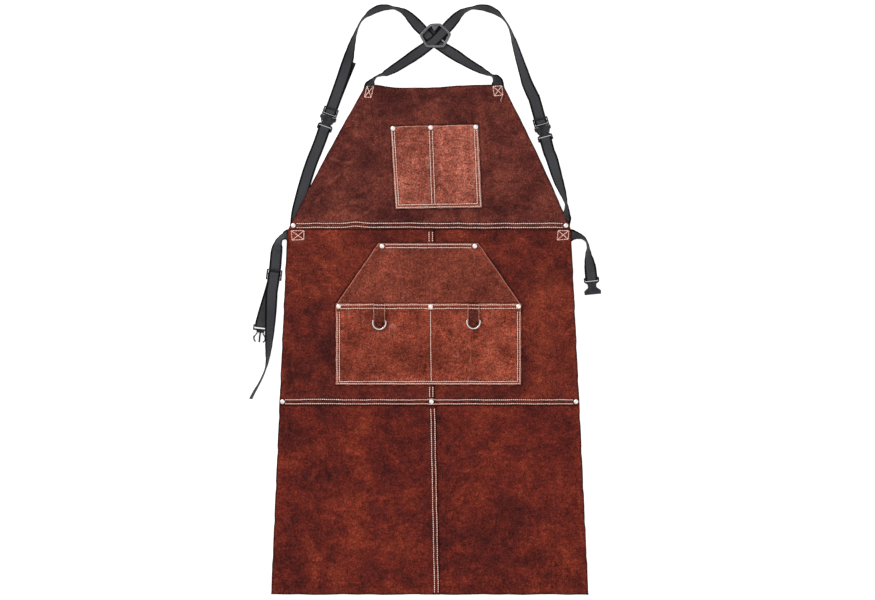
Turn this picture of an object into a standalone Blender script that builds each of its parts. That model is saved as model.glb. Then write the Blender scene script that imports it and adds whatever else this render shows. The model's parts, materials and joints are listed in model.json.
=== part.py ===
"""Leather welding apron with a cross-back webbing harness, laid out flat.

Frame: origin on the resting surface under the middle of the outline, +X to the
apron's right as seen from the front, +Y towards the collar, +Z up off the surface.
All lengths in metres.
"""
import math

import bmesh
import bpy
from mathutils import Matrix, Vector

MM = 0.001

# ---------------------------------------------------------------- dimensions
LEATHER = 1.5 * MM          # hide thickness
GAP = 0.3 * MM              # clearance between touching pieces
PLY = LEATHER + GAP         # rise of one lap
REST = 1.5 * MM             # lift of the hide over rivet caps and strap ends
RAMP = 8.0 * MM             # run-out of a lapped edge

BIB_TOP = 449.7 * MM
BIB_BOTTOM = 147.5 * MM
SKIRT_TOP = 164.0 * MM      # hidden edge under the bib
SEAM_LOW = -220.7 * MM      # lower edge of the upper skirt
SEAM_LOW_HIDDEN = -204.0 * MM
HEM = -617.1 * MM
CENTRE_EDGE = 17.8 * MM     # visible edge of the left panel at the centre
CENTRE_LAP = 14.0 * MM

WEB = 25.4 * MM             # webbing width
WEB_T = 1.2 * MM            # webbing thickness

RIVET_R = 4.6 * MM
RIVET_BACK_R = 3.8 * MM
SHANK_R = 1.7 * MM
HOLE_R = 2.3 * MM

POCKET_RISE = 6.0 * MM      # how far the pocket compartments stand out

THREAD_W = 0.9 * MM
THREAD_T = 0.4 * MM

# ---------------------------------------------------------------- scene reset
for ob in list(bpy.data.objects):
    bpy.data.objects.remove(ob, do_unlink=True)

PARTS = bpy.data.collections.new("welding_apron")
TOOLS = bpy.data.collections.new("cutters")
bpy.context.scene.collection.children.link(PARTS)
bpy.context.scene.collection.children.link(TOOLS)


def material(name, colour, rough, metal=0.0):
    m = bpy.data.materials.new(name)
    m.use_nodes = True
    b = m.node_tree.nodes["Principled BSDF"]
    b.inputs["Base Color"].default_value = (*colour, 1.0)
    b.inputs["Roughness"].default_value = rough
    b.inputs["Metallic"].default_value = metal
    return m


BODY_HIDE = ((0.115, 0.022, 0.016), 0.85)
POCKET_HIDE = ((0.26, 0.065, 0.045), 0.9)
WEBBING = ((0.03, 0.03, 0.033), 0.8)
PLASTIC = ((0.02, 0.02, 0.022), 0.4)
THREAD = ((0.78, 0.55, 0.45), 0.75)
NICKEL = ((0.75, 0.75, 0.77), 0.25)


def add(name, mesh, look, metal=0.0, matrix=None, smooth=False):
    ob = bpy.data.objects.new(name, mesh)
    PARTS.objects.link(ob)
    mesh.materials.clear()
    mesh.materials.append(material("mat_" + name, look[0], look[1], metal))
    if matrix is not None:
        ob.matrix_world = matrix
    if smooth:
        mesh.shade_smooth()
        mesh.set_sharp_from_angle(angle=math.radians(40))
    return ob


def clamp01(v):
    return max(0.0, min(1.0, v))


def ramp(v, a, b):
    """0 at a, 1 at b, linear between."""
    return clamp01((v - a) / (b - a))


# ---------------------------------------------------------------- hide outline
def bib_left(y):
    t = (BIB_TOP - y) / (BIB_TOP - BIB_BOTTOM)
    return (-124.5 - 162.5 * t - 3.2 * math.sin(math.pi * clamp01(t))) * MM


def bib_right(y):
    t = (BIB_TOP - y) / (BIB_TOP - BIB_BOTTOM)
    return (162.1 + 142.0 * t + 4.0 * math.sin(math.pi * clamp01(t))) * MM


def skirt_left(y):
    if y > BIB_BOTTOM:
        return bib_left(y) + 2.0 * MM * ramp(y, BIB_BOTTOM, BIB_BOTTOM + 4 * MM)
    return -289.0 * MM - 0.0446 * (BIB_BOTTOM - y)


def skirt_right(y):
    if y > BIB_BOTTOM:
        return bib_right(y) - 2.0 * MM * ramp(y, BIB_BOTTOM, BIB_BOTTOM + 4 * MM)
    return 304.1 * MM + 0.0482 * (BIB_BOTTOM - y)


def low_centre(y):
    """Visible edge of the lower left panel: drifts right towards the hem."""
    return 22.2 * MM + 0.0205 * (SEAM_LOW - min(y, SEAM_LOW))


# ---------------------------------------------------------------- hide heights
def rest(y):
    return REST * ramp(y, -320 * MM, -260 * MM)


def over_low_right(x, y):
    a = low_centre(y) - CENTRE_LAP
    return ramp(x, a - RAMP, a)


def over_low_left(x, y):
    a = low_centre(y)
    return 1.0 - ramp(x, a, a + RAMP)


def over_low_top(y):
    return 1.0 - ramp(y, SEAM_LOW_HIDDEN, SEAM_LOW_HIDDEN + RAMP)


def over_up_right(x):
    a = CENTRE_EDGE - CENTRE_LAP
    return ramp(x, a - RAMP, a)


def over_up_left(x):
    return 1.0 - ramp(x, CENTRE_EDGE, CENTRE_EDGE + RAMP)


def over_skirt_top(y):
    return 1.0 - ramp(y, SKIRT_TOP, SKIRT_TOP + RAMP)


def z_low_right(x, y):
    return rest(y)


def z_low_left(x, y):
    return rest(y) + PLY * over_low_right(x, y)


def z_up_right(x, y):
    return rest(y) + PLY * over_low_top(y) * (over_low_right(x, y) + over_low_left(x, y))


def z_up_left(x, y):
    return z_up_right(x, y) + PLY * over_up_right(x)


def z_bib(x, y):
    return rest(y) + PLY * over_skirt_top(y) * (over_up_right(x) + over_up_left(x))


def lap_bump(x):
    a = CENTRE_EDGE - CENTRE_LAP
    return ramp(x, a - RAMP, a) * (1.0 - ramp(x, CENTRE_EDGE, CENTRE_EDGE + RAMP))


def z_skirt_top(x, y):
    """Top face of whatever upper skirt hide is there."""
    if x <= CENTRE_EDGE + 1.6 * MM:
        return z_up_left(x, y) + LEATHER
    return z_up_right(x, y) + LEATHER


# ---------------------------------------------------------------- sheet builder
def hide_sheet(rows, zfun, thick):
    """A sheet laid on a height function: rows of (x, y) from bottom to top."""
    nu, nv = len(rows[0]), len(rows)
    bm = bmesh.new()
    bmesh.ops.create_grid(bm, x_segments=nu - 1, y_segments=nv - 1, size=1.0)
    bm.verts.ensure_lookup_table()
    order = sorted(bm.verts, key=lambda v: (round(v.co.y, 5), round(v.co.x, 5)))
    for k, v in enumerate(order):
        x, y = rows[k // nu][k % nu]
        v.co = Vector((x, y, zfun(x, y)))
    faces = list(bm.faces)
    res = bmesh.ops.extrude_face_region(bm, geom=faces)
    top = [g for g in res["geom"] if isinstance(g, bmesh.types.BMVert)]
    bmesh.ops.translate(bm, verts=top, vec=(0, 0, thick))
    bmesh.ops.recalc_face_normals(bm, faces=bm.faces)
    me = bpy.data.meshes.new("sheet")
    bm.to_mesh(me)
    bm.free()
    return me


def panel_rows(ys, left, right, inner):
    """Grid rows whose outer columns follow the side edges."""
    rows = []
    for y in ys:
        xs = [left(y)] + [f(y) if callable(f) else f for f in inner] + [right(y)]
        rows.append([(x, y) for x in xs])
    return rows


C0 = CENTRE_EDGE - CENTRE_LAP - RAMP
C1 = CENTRE_EDGE - CENTRE_LAP
C2 = CENTRE_EDGE
C3 = CENTRE_EDGE + RAMP


def lc(d):
    return lambda y: low_centre(y) + d


LOW_YS = [HEM, -500 * MM, -400 * MM, -320 * MM, -260 * MM, SEAM_LOW, SEAM_LOW_HIDDEN]
UP_YS = [SEAM_LOW, SEAM_LOW_HIDDEN, SEAM_LOW_HIDDEN + RAMP, -100 * MM, 0.0,
         100 * MM, BIB_BOTTOM, BIB_BOTTOM + 4 * MM, SKIRT_TOP]
BIB_YS = [BIB_BOTTOM, BIB_BOTTOM + 4 * MM, SKIRT_TOP, SKIRT_TOP + RAMP, 230 * MM,
          300 * MM, 370 * MM, BIB_TOP]

hide = {}
hide["skirt_lower_right"] = add("skirt_lower_right", hide_sheet(
    panel_rows(LOW_YS, lc(-CENTRE_LAP), skirt_right, [lc(0), lc(RAMP), 180 * MM]),
    z_low_right, LEATHER), BODY_HIDE)
hide["skirt_lower_left"] = add("skirt_lower_left", hide_sheet(
    panel_rows(LOW_YS, skirt_left, lc(0), [-160 * MM, lc(-CENTRE_LAP - RAMP), lc(-CENTRE_LAP)]),
    z_low_left, LEATHER), BODY_HIDE)


# the lower laps, as met by the upper skirt, use the seam's own position
LCX = low_centre(SEAM_LOW)
L_A, L_B, L_C, L_D = LCX - CENTRE_LAP - RAMP, LCX - CENTRE_LAP, LCX, LCX + RAMP
hide["skirt_upper_right"] = add("skirt_upper_right", hide_sheet(
    panel_rows(UP_YS, lambda y: C1, skirt_right, [L_B, C2, L_C, C3, L_D, 180 * MM]),
    z_up_right, LEATHER), BODY_HIDE)
hide["skirt_upper_left"] = add("skirt_upper_left", hide_sheet(
    panel_rows(UP_YS, skirt_left, lambda y: C2, [-160 * MM, C0, L_A, C1, L_B]),
    z_up_left, LEATHER), BODY_HIDE)
hide["bib_panel"] = add("bib_panel", hide_sheet(
    panel_rows(BIB_YS, bib_left, bib_right, [-60 * MM, C0, C1, C2, C3, 90 * MM]),
    z_bib, LEATHER), BODY_HIDE)

# ---------------------------------------------------------------- chest pocket
# Corners: the pocket leans a little clockwise.
CP = [(-62.0, 191.0), (117.5, 194.0), (109.5, 366.5), (-72.5, 363.0)]
CP_MID_LOW, CP_MID_TOP = (16.5, 192.3), (10.5, 364.6)
CP_U = [0.0, 0.06, 0.14, 0.385, 0.445, 0.50, 0.555, 0.615, 0.86, 0.94, 1.0]
CP_V = [0.0, 0.05, 0.20, 0.6, 1.0]


def quad_point(u, v, q, midlow=None, midtop=None):
    a = Vector(q[0]).lerp(Vector(q[1]), u) if midlow is None else (
        Vector(q[0]).lerp(Vector(midlow), u * 2) if u <= 0.5 else Vector(midlow).lerp(Vector(q[1]), u * 2 - 1))
    b = Vector(q[3]).lerp(Vector(q[2]), u) if midtop is None else (
        Vector(q[3]).lerp(Vector(midtop), u * 2) if u <= 0.5 else Vector(midtop).lerp(Vector(q[2]), u * 2 - 1))
    return a.lerp(b, v) * MM


def compartments(u, edge=0.06, full=0.14, mid=0.055):
    """Cross-section of a two-compartment pocket, 0 at seams and 1 over each."""
    h = abs(u - 0.5)
    outer = 1.0 - ramp(h, 0.5 - full, 0.5 - edge)
    inner = ramp(h, mid, mid + 0.06)
    return min(outer, inner)


def chest_rise(u, v):
    return POCKET_RISE * compartments(u) * ramp(v, 0.05, 0.20)


def mapped_sheet(us, vs, fun, thick):
    """A sheet from a (u, v) grid through fun(u, v) -> (x, y, z)."""
    nu = len(us)
    bm = bmesh.new()
    bmesh.ops.create_grid(bm, x_segments=nu - 1, y_segments=len(vs) - 1, size=1.0)
    order = sorted(bm.verts, key=lambda v: (round(v.co.y, 5), round(v.co.x, 5)))
    for k, v in enumerate(order):
        v.co = Vector(fun(us[k % nu], vs[k // nu]))
    res = bmesh.ops.extrude_face_region(bm, geom=list(bm.faces))
    top = [g for g in res["geom"] if isinstance(g, bmesh.types.BMVert)]
    bmesh.ops.translate(bm, verts=top, vec=(0, 0, thick))
    bmesh.ops.recalc_face_normals(bm, faces=bm.faces)
    me = bpy.data.meshes.new("sheet")
    bm.to_mesh(me)
    bm.free()
    return me


def chest_point(u, v):
    p = quad_point(u, v, CP, CP_MID_LOW, CP_MID_TOP)
    return (p.x, p.y, REST + PLY + chest_rise(u, v))


hide["chest_pocket"] = add("chest_pocket", mapped_sheet(CP_U, CP_V, chest_point, LEATHER), POCKET_HIDE)

# ---------------------------------------------------------------- hand pocket
HP_LEFT, HP_RIGHT = -187.0 * MM, 199.5 * MM
HP_TOP, HP_BOTTOM = -8.0 * MM, -177.0 * MM
HP_LAP = 12.0 * MM           # the front laps this far over the top piece
HP_MID = 10.5 * MM
HT_Y = 118.5 * MM            # top edge of the top piece
HT_LEFT, HT_RIGHT = -98.0 * MM, 110.0 * MM


HP_SEAM = 9.6 * MM
HP_RUN = 24 * MM


def hand_xs():
    return [HP_LEFT + HP_SEAM, HP_LEFT + HP_SEAM + HP_RUN, HP_LEFT + 100 * MM,
            C0 - 14 * MM, C0, C1, HP_MID, C2, C3, C3 + 14 * MM,
            HP_RIGHT - 100 * MM, HP_RIGHT - HP_SEAM - HP_RUN, HP_RIGHT - HP_SEAM]


def hand_profile(x):
    """Rise of the pocket across its width, 0 at side seams and at the centre."""
    a = ramp(x, HP_LEFT + HP_SEAM, HP_LEFT + HP_SEAM + HP_RUN)
    b = 1.0 - ramp(x, HP_RIGHT - HP_SEAM - HP_RUN, HP_RIGHT - HP_SEAM)
    c = ramp(-x, -C0, -(C0 - 14 * MM)) if x < HP_MID else ramp(x, C3, C3 + 14 * MM)
    return min(a, b, c)


def z_hand_base(x):
    return REST + PLY * (1.0 + lap_bump(x))


def hand_front_point(u, v):
    x, y = u, v
    r = POCKET_RISE * hand_profile(x) * ramp(y, HP_BOTTOM + HP_SEAM, HP_BOTTOM + HP_SEAM + HP_RUN)
    lap = PLY * ramp(y, HP_TOP - HP_LAP - RAMP, HP_TOP - HP_LAP)
    return (x, y, z_hand_base(x) + r + lap)


HF_X = [HP_LEFT] + hand_xs() + [HP_RIGHT]
HF_Y = [HP_BOTTOM, HP_BOTTOM + HP_SEAM, HP_BOTTOM + HP_SEAM + HP_RUN, -80 * MM,
        HP_TOP - HP_LAP - RAMP, HP_TOP - HP_LAP, HP_TOP]
hide["hand_pocket_front"] = add("hand_pocket_front", mapped_sheet(HF_X, HF_Y, hand_front_point, LEATHER), POCKET_HIDE)

HT_U = [0] + [k for k in range(1, 14)] + [14]
HT_V = [0.0, 0.5, 0.58, 0.675, 0.78, 0.93, 1.0]   # up to 0.5: the strip under the front


def hand_top_point(i, v):
    xs = [HP_LEFT + 1.5 * MM] + hand_xs() + [HP_RIGHT - 1.5 * MM]
    x0 = xs[i]
    base = HP_TOP - HP_LAP
    if v <= 0.5:
        y = base + (HP_TOP - base) * (v * 2)
        x = x0
        return (x, y, z_hand_base(x) + POCKET_RISE * hand_profile(x))
    t = (v - 0.5) * 2
    y = HP_TOP + (HT_Y - HP_TOP) * t
    f = (x0 - xs[0]) / (xs[-1] - xs[0])
    left = xs[0] + (HT_LEFT - xs[0]) * t
    right = xs[-1] + (HT_RIGHT - xs[-1]) * t
    if 4 <= i <= 10:
        x = x0                                   # the lap lines of the skirt run straight up
    elif i < 4:
        k = i / 4.0
        x = left + (xs[4] - left) * ((xs[i] - xs[0]) / (xs[4] - xs[0]))
    else:
        x = xs[10] + (right - xs[10]) * ((xs[i] - xs[10]) / (xs[-1] - xs[10]))
    body = hand_profile(x0) * (1.0 - ramp(t, 0.35, 0.86))
    mouth = ramp(t, 0.0, 0.16) * (1.0 - ramp(t, 0.56, 0.86))
    if i in (0, 14):
        r = mouth
    elif i in (1, 13):
        r = mouth
    elif i in (2, 12):
        r = max(body, mouth)
    else:
        r = body
    return (x, y, z_hand_base(x) + POCKET_RISE * r)


hide["hand_pocket_top"] = add("hand_pocket_top", mapped_sheet(HT_U, HT_V, hand_top_point, LEATHER), POCKET_HIDE)

# ---------------------------------------------------------------- rivets
TWO = REST + 2 * PLY - GAP
RIVETS = [
    ("rivet_chest_left", -68.0, 358.5, TWO),
    ("rivet_chest_centre", 10.7, 360.5, TWO),
    ("rivet_chest_right", 105.0, 361.5, TWO),
    ("rivet_hand_top_left", -91.0, 112.5, TWO),
    ("rivet_hand_top_right", 103.0, 112.5, TWO),
    ("rivet_hand_left", -181.8, -13.5, TWO + PLY),
    ("rivet_hand_centre", HP_MID / MM, -14.0, TWO + 2 * PLY),
    ("rivet_hand_right", 194.4, -13.5, TWO + PLY),
    ("rivet_waist_left", -276.5, 155.8, TWO),
    ("rivet_waist_right", 293.5, 155.8, TWO),
    ("rivet_seam_left", -299.0, -212.4, TWO),
    ("rivet_seam_centre", 12.4, -212.4, TWO + 2 * PLY),
    ("rivet_seam_right", 314.5, -212.4, TWO),
]


def rivet_mesh(top):
    """Back cap on the surface, shank, and a domed cap: one turned profile."""
    z = top + GAP
    prof = [(0.0001 * MM, z + 2.1 * MM), (2.4 * MM, z + 1.75 * MM), (RIVET_R, z + 0.6 * MM),
            (RIVET_R, z), (SHANK_R, z), (SHANK_R, 1.2 * MM), (RIVET_BACK_R, 1.2 * MM),
            (RIVET_BACK_R, 0.0), (0.0001 * MM, 0.0)]
    bm = bmesh.new()
    vs = [bm.verts.new((r if r > 0.001 * MM else 0.0, 0, h)) for r, h in prof]
    edges = [bm.edges.new((vs[k], vs[k + 1])) for k in range(len(vs) - 1)]
    bmesh.ops.spin(bm, geom=vs + edges, cent=(0, 0, 0), axis=(0, 0, 1),
                   angle=2 * math.pi, steps=10, use_merge=True)
    bmesh.ops.remove_doubles(bm, verts=bm.verts, dist=1e-6)
    bmesh.ops.recalc_face_normals(bm, faces=bm.faces)
    me = bpy.data.meshes.new("rivet")
    bm.to_mesh(me)
    bm.free()
    return me


for name, x, y, top in RIVETS:
    add(name, rivet_mesh(top), NICKEL, 1.0, Matrix.Translation((x * MM, y * MM, 0)), smooth=True)

bm = bmesh.new()
for _n, x, y, _t in RIVETS:
    res = bmesh.ops.create_cone(bm, cap_ends=True, segments=10, radius1=HOLE_R, radius2=HOLE_R,
                                depth=40 * MM, matrix=Matrix.Translation((x * MM, y * MM, 8 * MM)))
me = bpy.data.meshes.new("rivet_holes")
bm.to_mesh(me)
bm.free()
HOLES = bpy.data.objects.new("rivet_holes", me)
TOOLS.objects.link(HOLES)
HOLES.hide_render = True
HOLES.display_type = "WIRE"
for name, ob in hide.items():
    mod = ob.modifiers.new("holes", "BOOLEAN")
    mod.operation = "DIFFERENCE"
    mod.solver = "EXACT"
    mod.object = HOLES


# ---------------------------------------------------------------- small helpers
def mesh_of(ob):
    """The object's evaluated mesh, with a curve's loose caps welded."""
    bpy.context.view_layer.update()
    dg = bpy.context.evaluated_depsgraph_get()
    me = bpy.data.meshes.new_from_object(ob.evaluated_get(dg))
    bm = bmesh.new()
    bm.from_mesh(me)
    bmesh.ops.remove_doubles(bm, verts=bm.verts, dist=1e-6)
    bmesh.ops.recalc_face_normals(bm, faces=bm.faces)
    bm.to_mesh(me)
    bm.free()
    return me


def temp(mesh):
    ob = bpy.data.objects.new("temp", mesh)
    bpy.context.scene.collection.objects.link(ob)
    return ob


def plate(outlines, z0, z1):
    """Flat plate from closed outlines in mm (first outer, the rest holes)."""
    cu = bpy.data.curves.new("plate", "CURVE")
    cu.dimensions = "2D"
    cu.fill_mode = "BOTH"
    cu.extrude = (z1 - z0) * MM / 2
    for pts in outlines:
        sp = cu.splines.new("POLY")
        sp.points.add(len(pts) - 1)
        for k, (x, y) in enumerate(pts):
            sp.points[k].co = (x * MM, y * MM, 0, 1)
        sp.use_cyclic_u = True
    ob = temp(cu)
    me = mesh_of(ob)
    bpy.data.objects.remove(ob, do_unlink=True)
    me.transform(Matrix.Translation((0, 0, (z0 + z1) * MM / 2)))
    return me


def block(x0, x1, y0, y1, z0, z1):
    bm = bmesh.new()
    bmesh.ops.create_cube(bm, size=1.0, matrix=Matrix.Translation(
        ((x0 + x1) / 2 * MM, (y0 + y1) / 2 * MM, (z0 + z1) / 2 * MM))
        @ Matrix.Diagonal(((x1 - x0) * MM, (y1 - y0) * MM, (z1 - z0) * MM, 1)))
    me = bpy.data.meshes.new("block")
    bm.to_mesh(me)
    bm.free()
    return me


def rod(x0, x1, y, z, r, seg=10):
    """Round bar along X, in mm."""
    bm = bmesh.new()
    bmesh.ops.create_cone(bm, cap_ends=True, segments=seg, radius1=r * MM, radius2=r * MM,
                          depth=(x1 - x0) * MM,
                          matrix=Matrix.Translation(((x0 + x1) / 2 * MM, y * MM, z * MM))
                          @ Matrix.Rotation(math.radians(90), 4, "Y"))
    me = bpy.data.meshes.new("rod")
    bm.to_mesh(me)
    bm.free()
    return me


def combine(base, others, operation):
    """Boolean the other meshes onto the base one after another."""
    ob = temp(base)
    for other in others:
        cut = temp(other)
        mod = ob.modifiers.new("b", "BOOLEAN")
        mod.solver = "EXACT"
        mod.operation = operation
        mod.object = cut
        me = mesh_of(ob)
        ob.modifiers.clear()
        ob.data = me
        bpy.data.objects.remove(cut, do_unlink=True)
    me = ob.data
    bpy.data.objects.remove(ob, do_unlink=True)
    return me


# ---------------------------------------------------------------- stitching
def seam(name, rows_mm, zfun, closed=True, step=45.0):
    """A flat thread run: points in plan, laid on zfun, as a closed ribbon loop."""
    pts = []
    n = len(rows_mm)
    for k in range(n if closed else n - 1):
        a, b = Vector(rows_mm[k]), Vector(rows_mm[(k + 1) % n])
        cuts = max(1, math.ceil((b - a).length / step))
        ts = {j / cuts for j in range(cuts)}
        for line in SEAM_X:
            if abs(b.x - a.x) > 1e-6:
                t = (line - a.x) / (b.x - a.x)
                if 0.002 < t < 0.998:
                    ts.add(t)
        for t in sorted(ts):
            pts.append(a.lerp(b, t))
    if not closed:
        pts.append(Vector(rows_mm[-1]))
    m = len(pts)
    half = THREAD_W / MM / 2
    left, right = [], []
    for k in range(m):
        p = pts[k]
        prev = pts[(k - 1) % m] if closed or k > 0 else p
        nxt = pts[(k + 1) % m] if closed or k < m - 1 else p
        d1 = (p - prev).normalized() if (p - prev).length > 1e-9 else (nxt - p).normalized()
        d2 = (nxt - p).normalized() if (nxt - p).length > 1e-9 else d1
        n1, n2 = Vector((-d1.y, d1.x)), Vector((-d2.y, d2.x))
        nn = (n1 + n2).normalized()
        w = half / max(0.5, nn.dot(n1))
        left.append(p + nn * w)
        right.append(p - nn * w)
    bm = bmesh.new()
    lo, hi = [], []
    for side in (left, right):
        lo.append([bm.verts.new((q.x * MM, q.y * MM, zfun(q.x * MM, q.y * MM) + GAP)) for q in side])
    for side in lo:
        hi.append([bm.verts.new(v.co + Vector((0, 0, THREAD_T))) for v in side])
    ring = m if closed else m - 1
    for k in range(ring):
        j = (k + 1) % m
        bm.faces.new((hi[0][k], hi[0][j], hi[1][j], hi[1][k]))
        bm.faces.new((lo[0][k], lo[1][k], lo[1][j], lo[0][j]))
        bm.faces.new((lo[0][k], lo[0][j], hi[0][j], hi[0][k]))
        bm.faces.new((lo[1][k], hi[1][k], hi[1][j], lo[1][j]))
    bmesh.ops.recalc_face_normals(bm, faces=bm.faces)
    me = bpy.data.meshes.new("seam")
    bm.to_mesh(me)
    bm.free()
    return add(name, me, THREAD)


SEAM_X = [v / MM for v in (C0, C1, C2, C3)]


def top_bib(x, y):
    return z_bib(x, y) + LEATHER


def top_up(x, y):
    return z_skirt_top(x, y)


def top_low(x, y):
    z = z_low_left(x, y) if x <= low_centre(y) else z_low_right(x, y)
    return z + LEATHER


seam("waist_seam", [(-270.0, 151.3), (287.0, 151.3), (287.0, 159.8), (-270.0, 159.8)], top_bib)
SEAM_X = [v / MM for v in (L_A, L_B, C0, C1, C2, L_C, C3, L_D)]
seam("lower_seam", [(-293.5, -217.3), (6.0, -217.3), (9.0, -218.2), (16.0, -218.2), (21.4, -217.3),
                    (308.5, -217.3), (308.5, -208.6), (21.4, -208.6), (16.0, -206.6), (9.0, -206.6),
                    (6.0, -208.6), (-293.5, -208.6)], top_up)
SEAM_X = []
seam("centre_seam_upper", [(7.4, 122.0), (14.6, 122.0), (14.6, 143.0), (7.4, 143.0)], top_up)
d0, d1 = low_centre(-229 * MM) / MM, low_centre(-609 * MM) / MM
seam("centre_seam_lower", [(d0 - 11.2, -229.0), (d0 - 3.6, -229.0), (d0 - 3.6 + (d1 - d0) * 0.24, -320.0),
                           (d1 - 3.6, -609.0), (d1 - 11.2, -609.0), (d0 - 11.2 + (d1 - d0) * 0.24, -320.0)], top_low)


def chest_seam(name, uv, closed=True):
    """Thread on the chest pocket; runs in the flat, stitched-down margins."""
    pts = [quad_point(u, v, CP, CP_MID_LOW, CP_MID_TOP) / MM for u, v in uv]
    return seam(name, [(p.x, p.y) for p in pts], lambda x, y: REST + PLY + LEATHER, closed)


chest_seam("chest_pocket_thread", [(0.012, 0.93), (0.012, 0.012), (0.988, 0.012), (0.988, 0.93),
                                   (0.952, 0.93), (0.952, 0.046), (0.048, 0.046), (0.048, 0.93)])
chest_seam("chest_centre_thread", [(0.478, 0.07), (0.522, 0.07), (0.522, 0.94), (0.478, 0.94)])

XF = lambda x: z_hand_base(x) + LEATHER
SEAM_X = [v / MM for v in (C0, C1, C2, C3)]
l, r, b = HP_LEFT / MM, HP_RIGHT / MM, HP_BOTTOM / MM
seam("hand_pocket_thread", [(l + 2.2, -36.0), (l + 2.2, b + 2.0), (r - 2.2, b + 2.0), (r - 2.2, -36.0),
                            (r - 6.2, -36.0), (r - 6.2, b + 6.2), (l + 6.2, b + 6.2), (l + 6.2, -36.0)],
     lambda x, y: XF(x))
SEAM_X = []
seam("hand_centre_thread", [(9.2, b + 10), (11.8, b + 10), (11.8, -32.0), (9.2, -32.0)], lambda x, y: XF(x))
SEAM_X = [v / MM for v in hand_xs()]


def z_join(x, y):
    return z_hand_base(x) + POCKET_RISE * hand_profile(x) + PLY + LEATHER


seam("pocket_join_thread", [(l + 12, -17.5), (4.5, -17.5), (7.5, -19.4), (13.5, -19.4), (16.5, -17.5),
                            (r - 12, -17.5), (r - 12, -10.5), (16.5, -10.5), (13.5, -8.9), (7.5, -8.9),
                            (4.5, -10.5), (l + 12, -10.5)], z_join)
seam("pocket_top_thread", [(-84.0, 109.3), (96.0, 109.3), (96.0, 115.6), (-84.0, 115.6)], lambda x, y: XF(x))


def box_x(name, corners, z):
    """Square-and-cross stitching: an outline with its four triangles open."""
    q = [Vector(c) for c in corners]
    c = (q[0] + q[1] + q[2] + q[3]) / 4
    holes = []
    w = THREAD_W / MM * 1.1
    for k in range(4):
        a, b2 = q[k], q[(k + 1) % 4]
        m = (a + b2 + c) / 3
        tri = []
        for p in (a, b2, c):
            d = p - m
            tri.append(m + d * max(0.25, (d.length - w * 1.75) / d.length))
        holes.append([(p.x, p.y) for p in tri])
    me = plate([[(p.x, p.y) for p in q]] + holes, z / MM, (z + THREAD_T) / MM)
    return add(name, me, THREAD)


TOP1 = REST + LEATHER + GAP
box_x("box_stitch_bib_left", [(-125.0, 423.5), (-110.0, 424.5), (-107.0, 446.0), (-120.5, 446.0)], TOP1)
box_x("box_stitch_bib_right", [(143.0, 425.5), (163.0, 428.0), (159.5, 446.0), (140.5, 446.0)], TOP1)
box_x("box_stitch_waist_left", [(-279.0, 125.0), (-254.5, 126.5), (-254.0, 145.0), (-280.5, 145.0)], TOP1)
box_x("box_stitch_waist_right", [(275.5, 125.5), (298.5, 127.0), (299.5, 145.0), (277.5, 145.0)], TOP1)


# ---------------------------------------------------------------- webbing
def spline(pts, per):
    """Catmull-Rom in plan, eased clearance and roll, `per` steps a span."""
    out = []
    n = len(pts)
    for k in range(n - 1):
        p0, p1, p2, p3 = pts[max(k - 1, 0)], pts[k], pts[k + 1], pts[min(k + 2, n - 1)]
        for j in range(per):
            t = j / per
            row = []
            for a, b3, c, d in list(zip(p0, p1, p2, p3))[:2]:
                row.append(0.5 * ((2 * b3) + (-a + c) * t + (2 * a - 5 * b3 + 4 * c - d) * t * t
                                  + (-a + 3 * b3 - 3 * c + d) * t ** 3))
            e = t * t * (3 - 2 * t)
            row += [b3 + (c - b3) * e for b3, c in list(zip(p1, p2))[2:]]
            out.append(row)
    out.append(list(pts[-1]))
    return out


def laid(route, per=2):
    """Edge points of webbing that lies on the surface.

    route: (x, y, clearance, roll in degrees) in mm; the lower edge of a rolled
    stretch stays at its clearance above the surface.
    """
    rows = spline(route, per)
    out = []
    for k, (x, y, h, roll) in enumerate(rows):
        a = rows[max(k - 1, 0)]
        b = rows[min(k + 1, len(rows) - 1)]
        d = Vector((b[0] - a[0], b[1] - a[1])).normalized()
        nrm = Vector((-d.y, d.x, 0))
        r = math.radians(roll)
        w = WEB / MM / 2
        zc = h + w * abs(math.sin(r)) + 0.6 * abs(math.cos(r)) + 0.05
        side = nrm * math.cos(r) + Vector((0, 0, math.sin(r)))
        c = Vector((x, y, zc))
        out.append((c + side * w, c - side * w))
    return out


class Place:
    """Local frame of a buckle: s runs along the webbing, w across, z up."""

    def __init__(self, x, y, dx, dy, z=0.0):
        self.o = Vector((x, y, z))
        self.s = Vector((dx, dy, 0)).normalized()
        self.w = Vector((-self.s.y, self.s.x, 0))

    def at(self, s, w, z):
        return self.o + self.s * s + self.w * w + Vector((0, 0, z))

    def matrix(self):
        # local +Y is the s direction reversed so that local X is across
        m = Matrix.Identity(4)
        m.col[0][:3] = self.w
        m.col[1][:3] = -self.s
        m.col[2][:3] = (0, 0, 1)
        m.col[3][:3] = self.o * MM
        return m

    def threaded(self, profile, drift=None):
        out = []
        for k, (s, z) in enumerate(profile):
            off = 0.0 if drift is None else drift[k]
            out.append((self.at(s, off + WEB / MM / 2, z), self.at(s, off - WEB / MM / 2, z)))
        return out


def webbing(name, rows, look=WEBBING):
    """Solid webbing from pairs of edge points."""
    nv = len(rows)
    bm = bmesh.new()
    bmesh.ops.create_grid(bm, x_segments=1, y_segments=nv - 1, size=1.0)
    order = sorted(bm.verts, key=lambda v: (round(v.co.y, 5), round(v.co.x, 5)))
    for k, v in enumerate(order):
        v.co = rows[k // 2][k % 2] * MM
    bmesh.ops.recalc_face_normals(bm, faces=bm.faces)
    me = bpy.data.meshes.new(name)
    bm.to_mesh(me)
    bm.free()
    ob = add(name, me, look)
    sol = ob.modifiers.new("thickness", "SOLIDIFY")
    sol.thickness = WEB_T
    sol.offset = 0.0
    return ob


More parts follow.
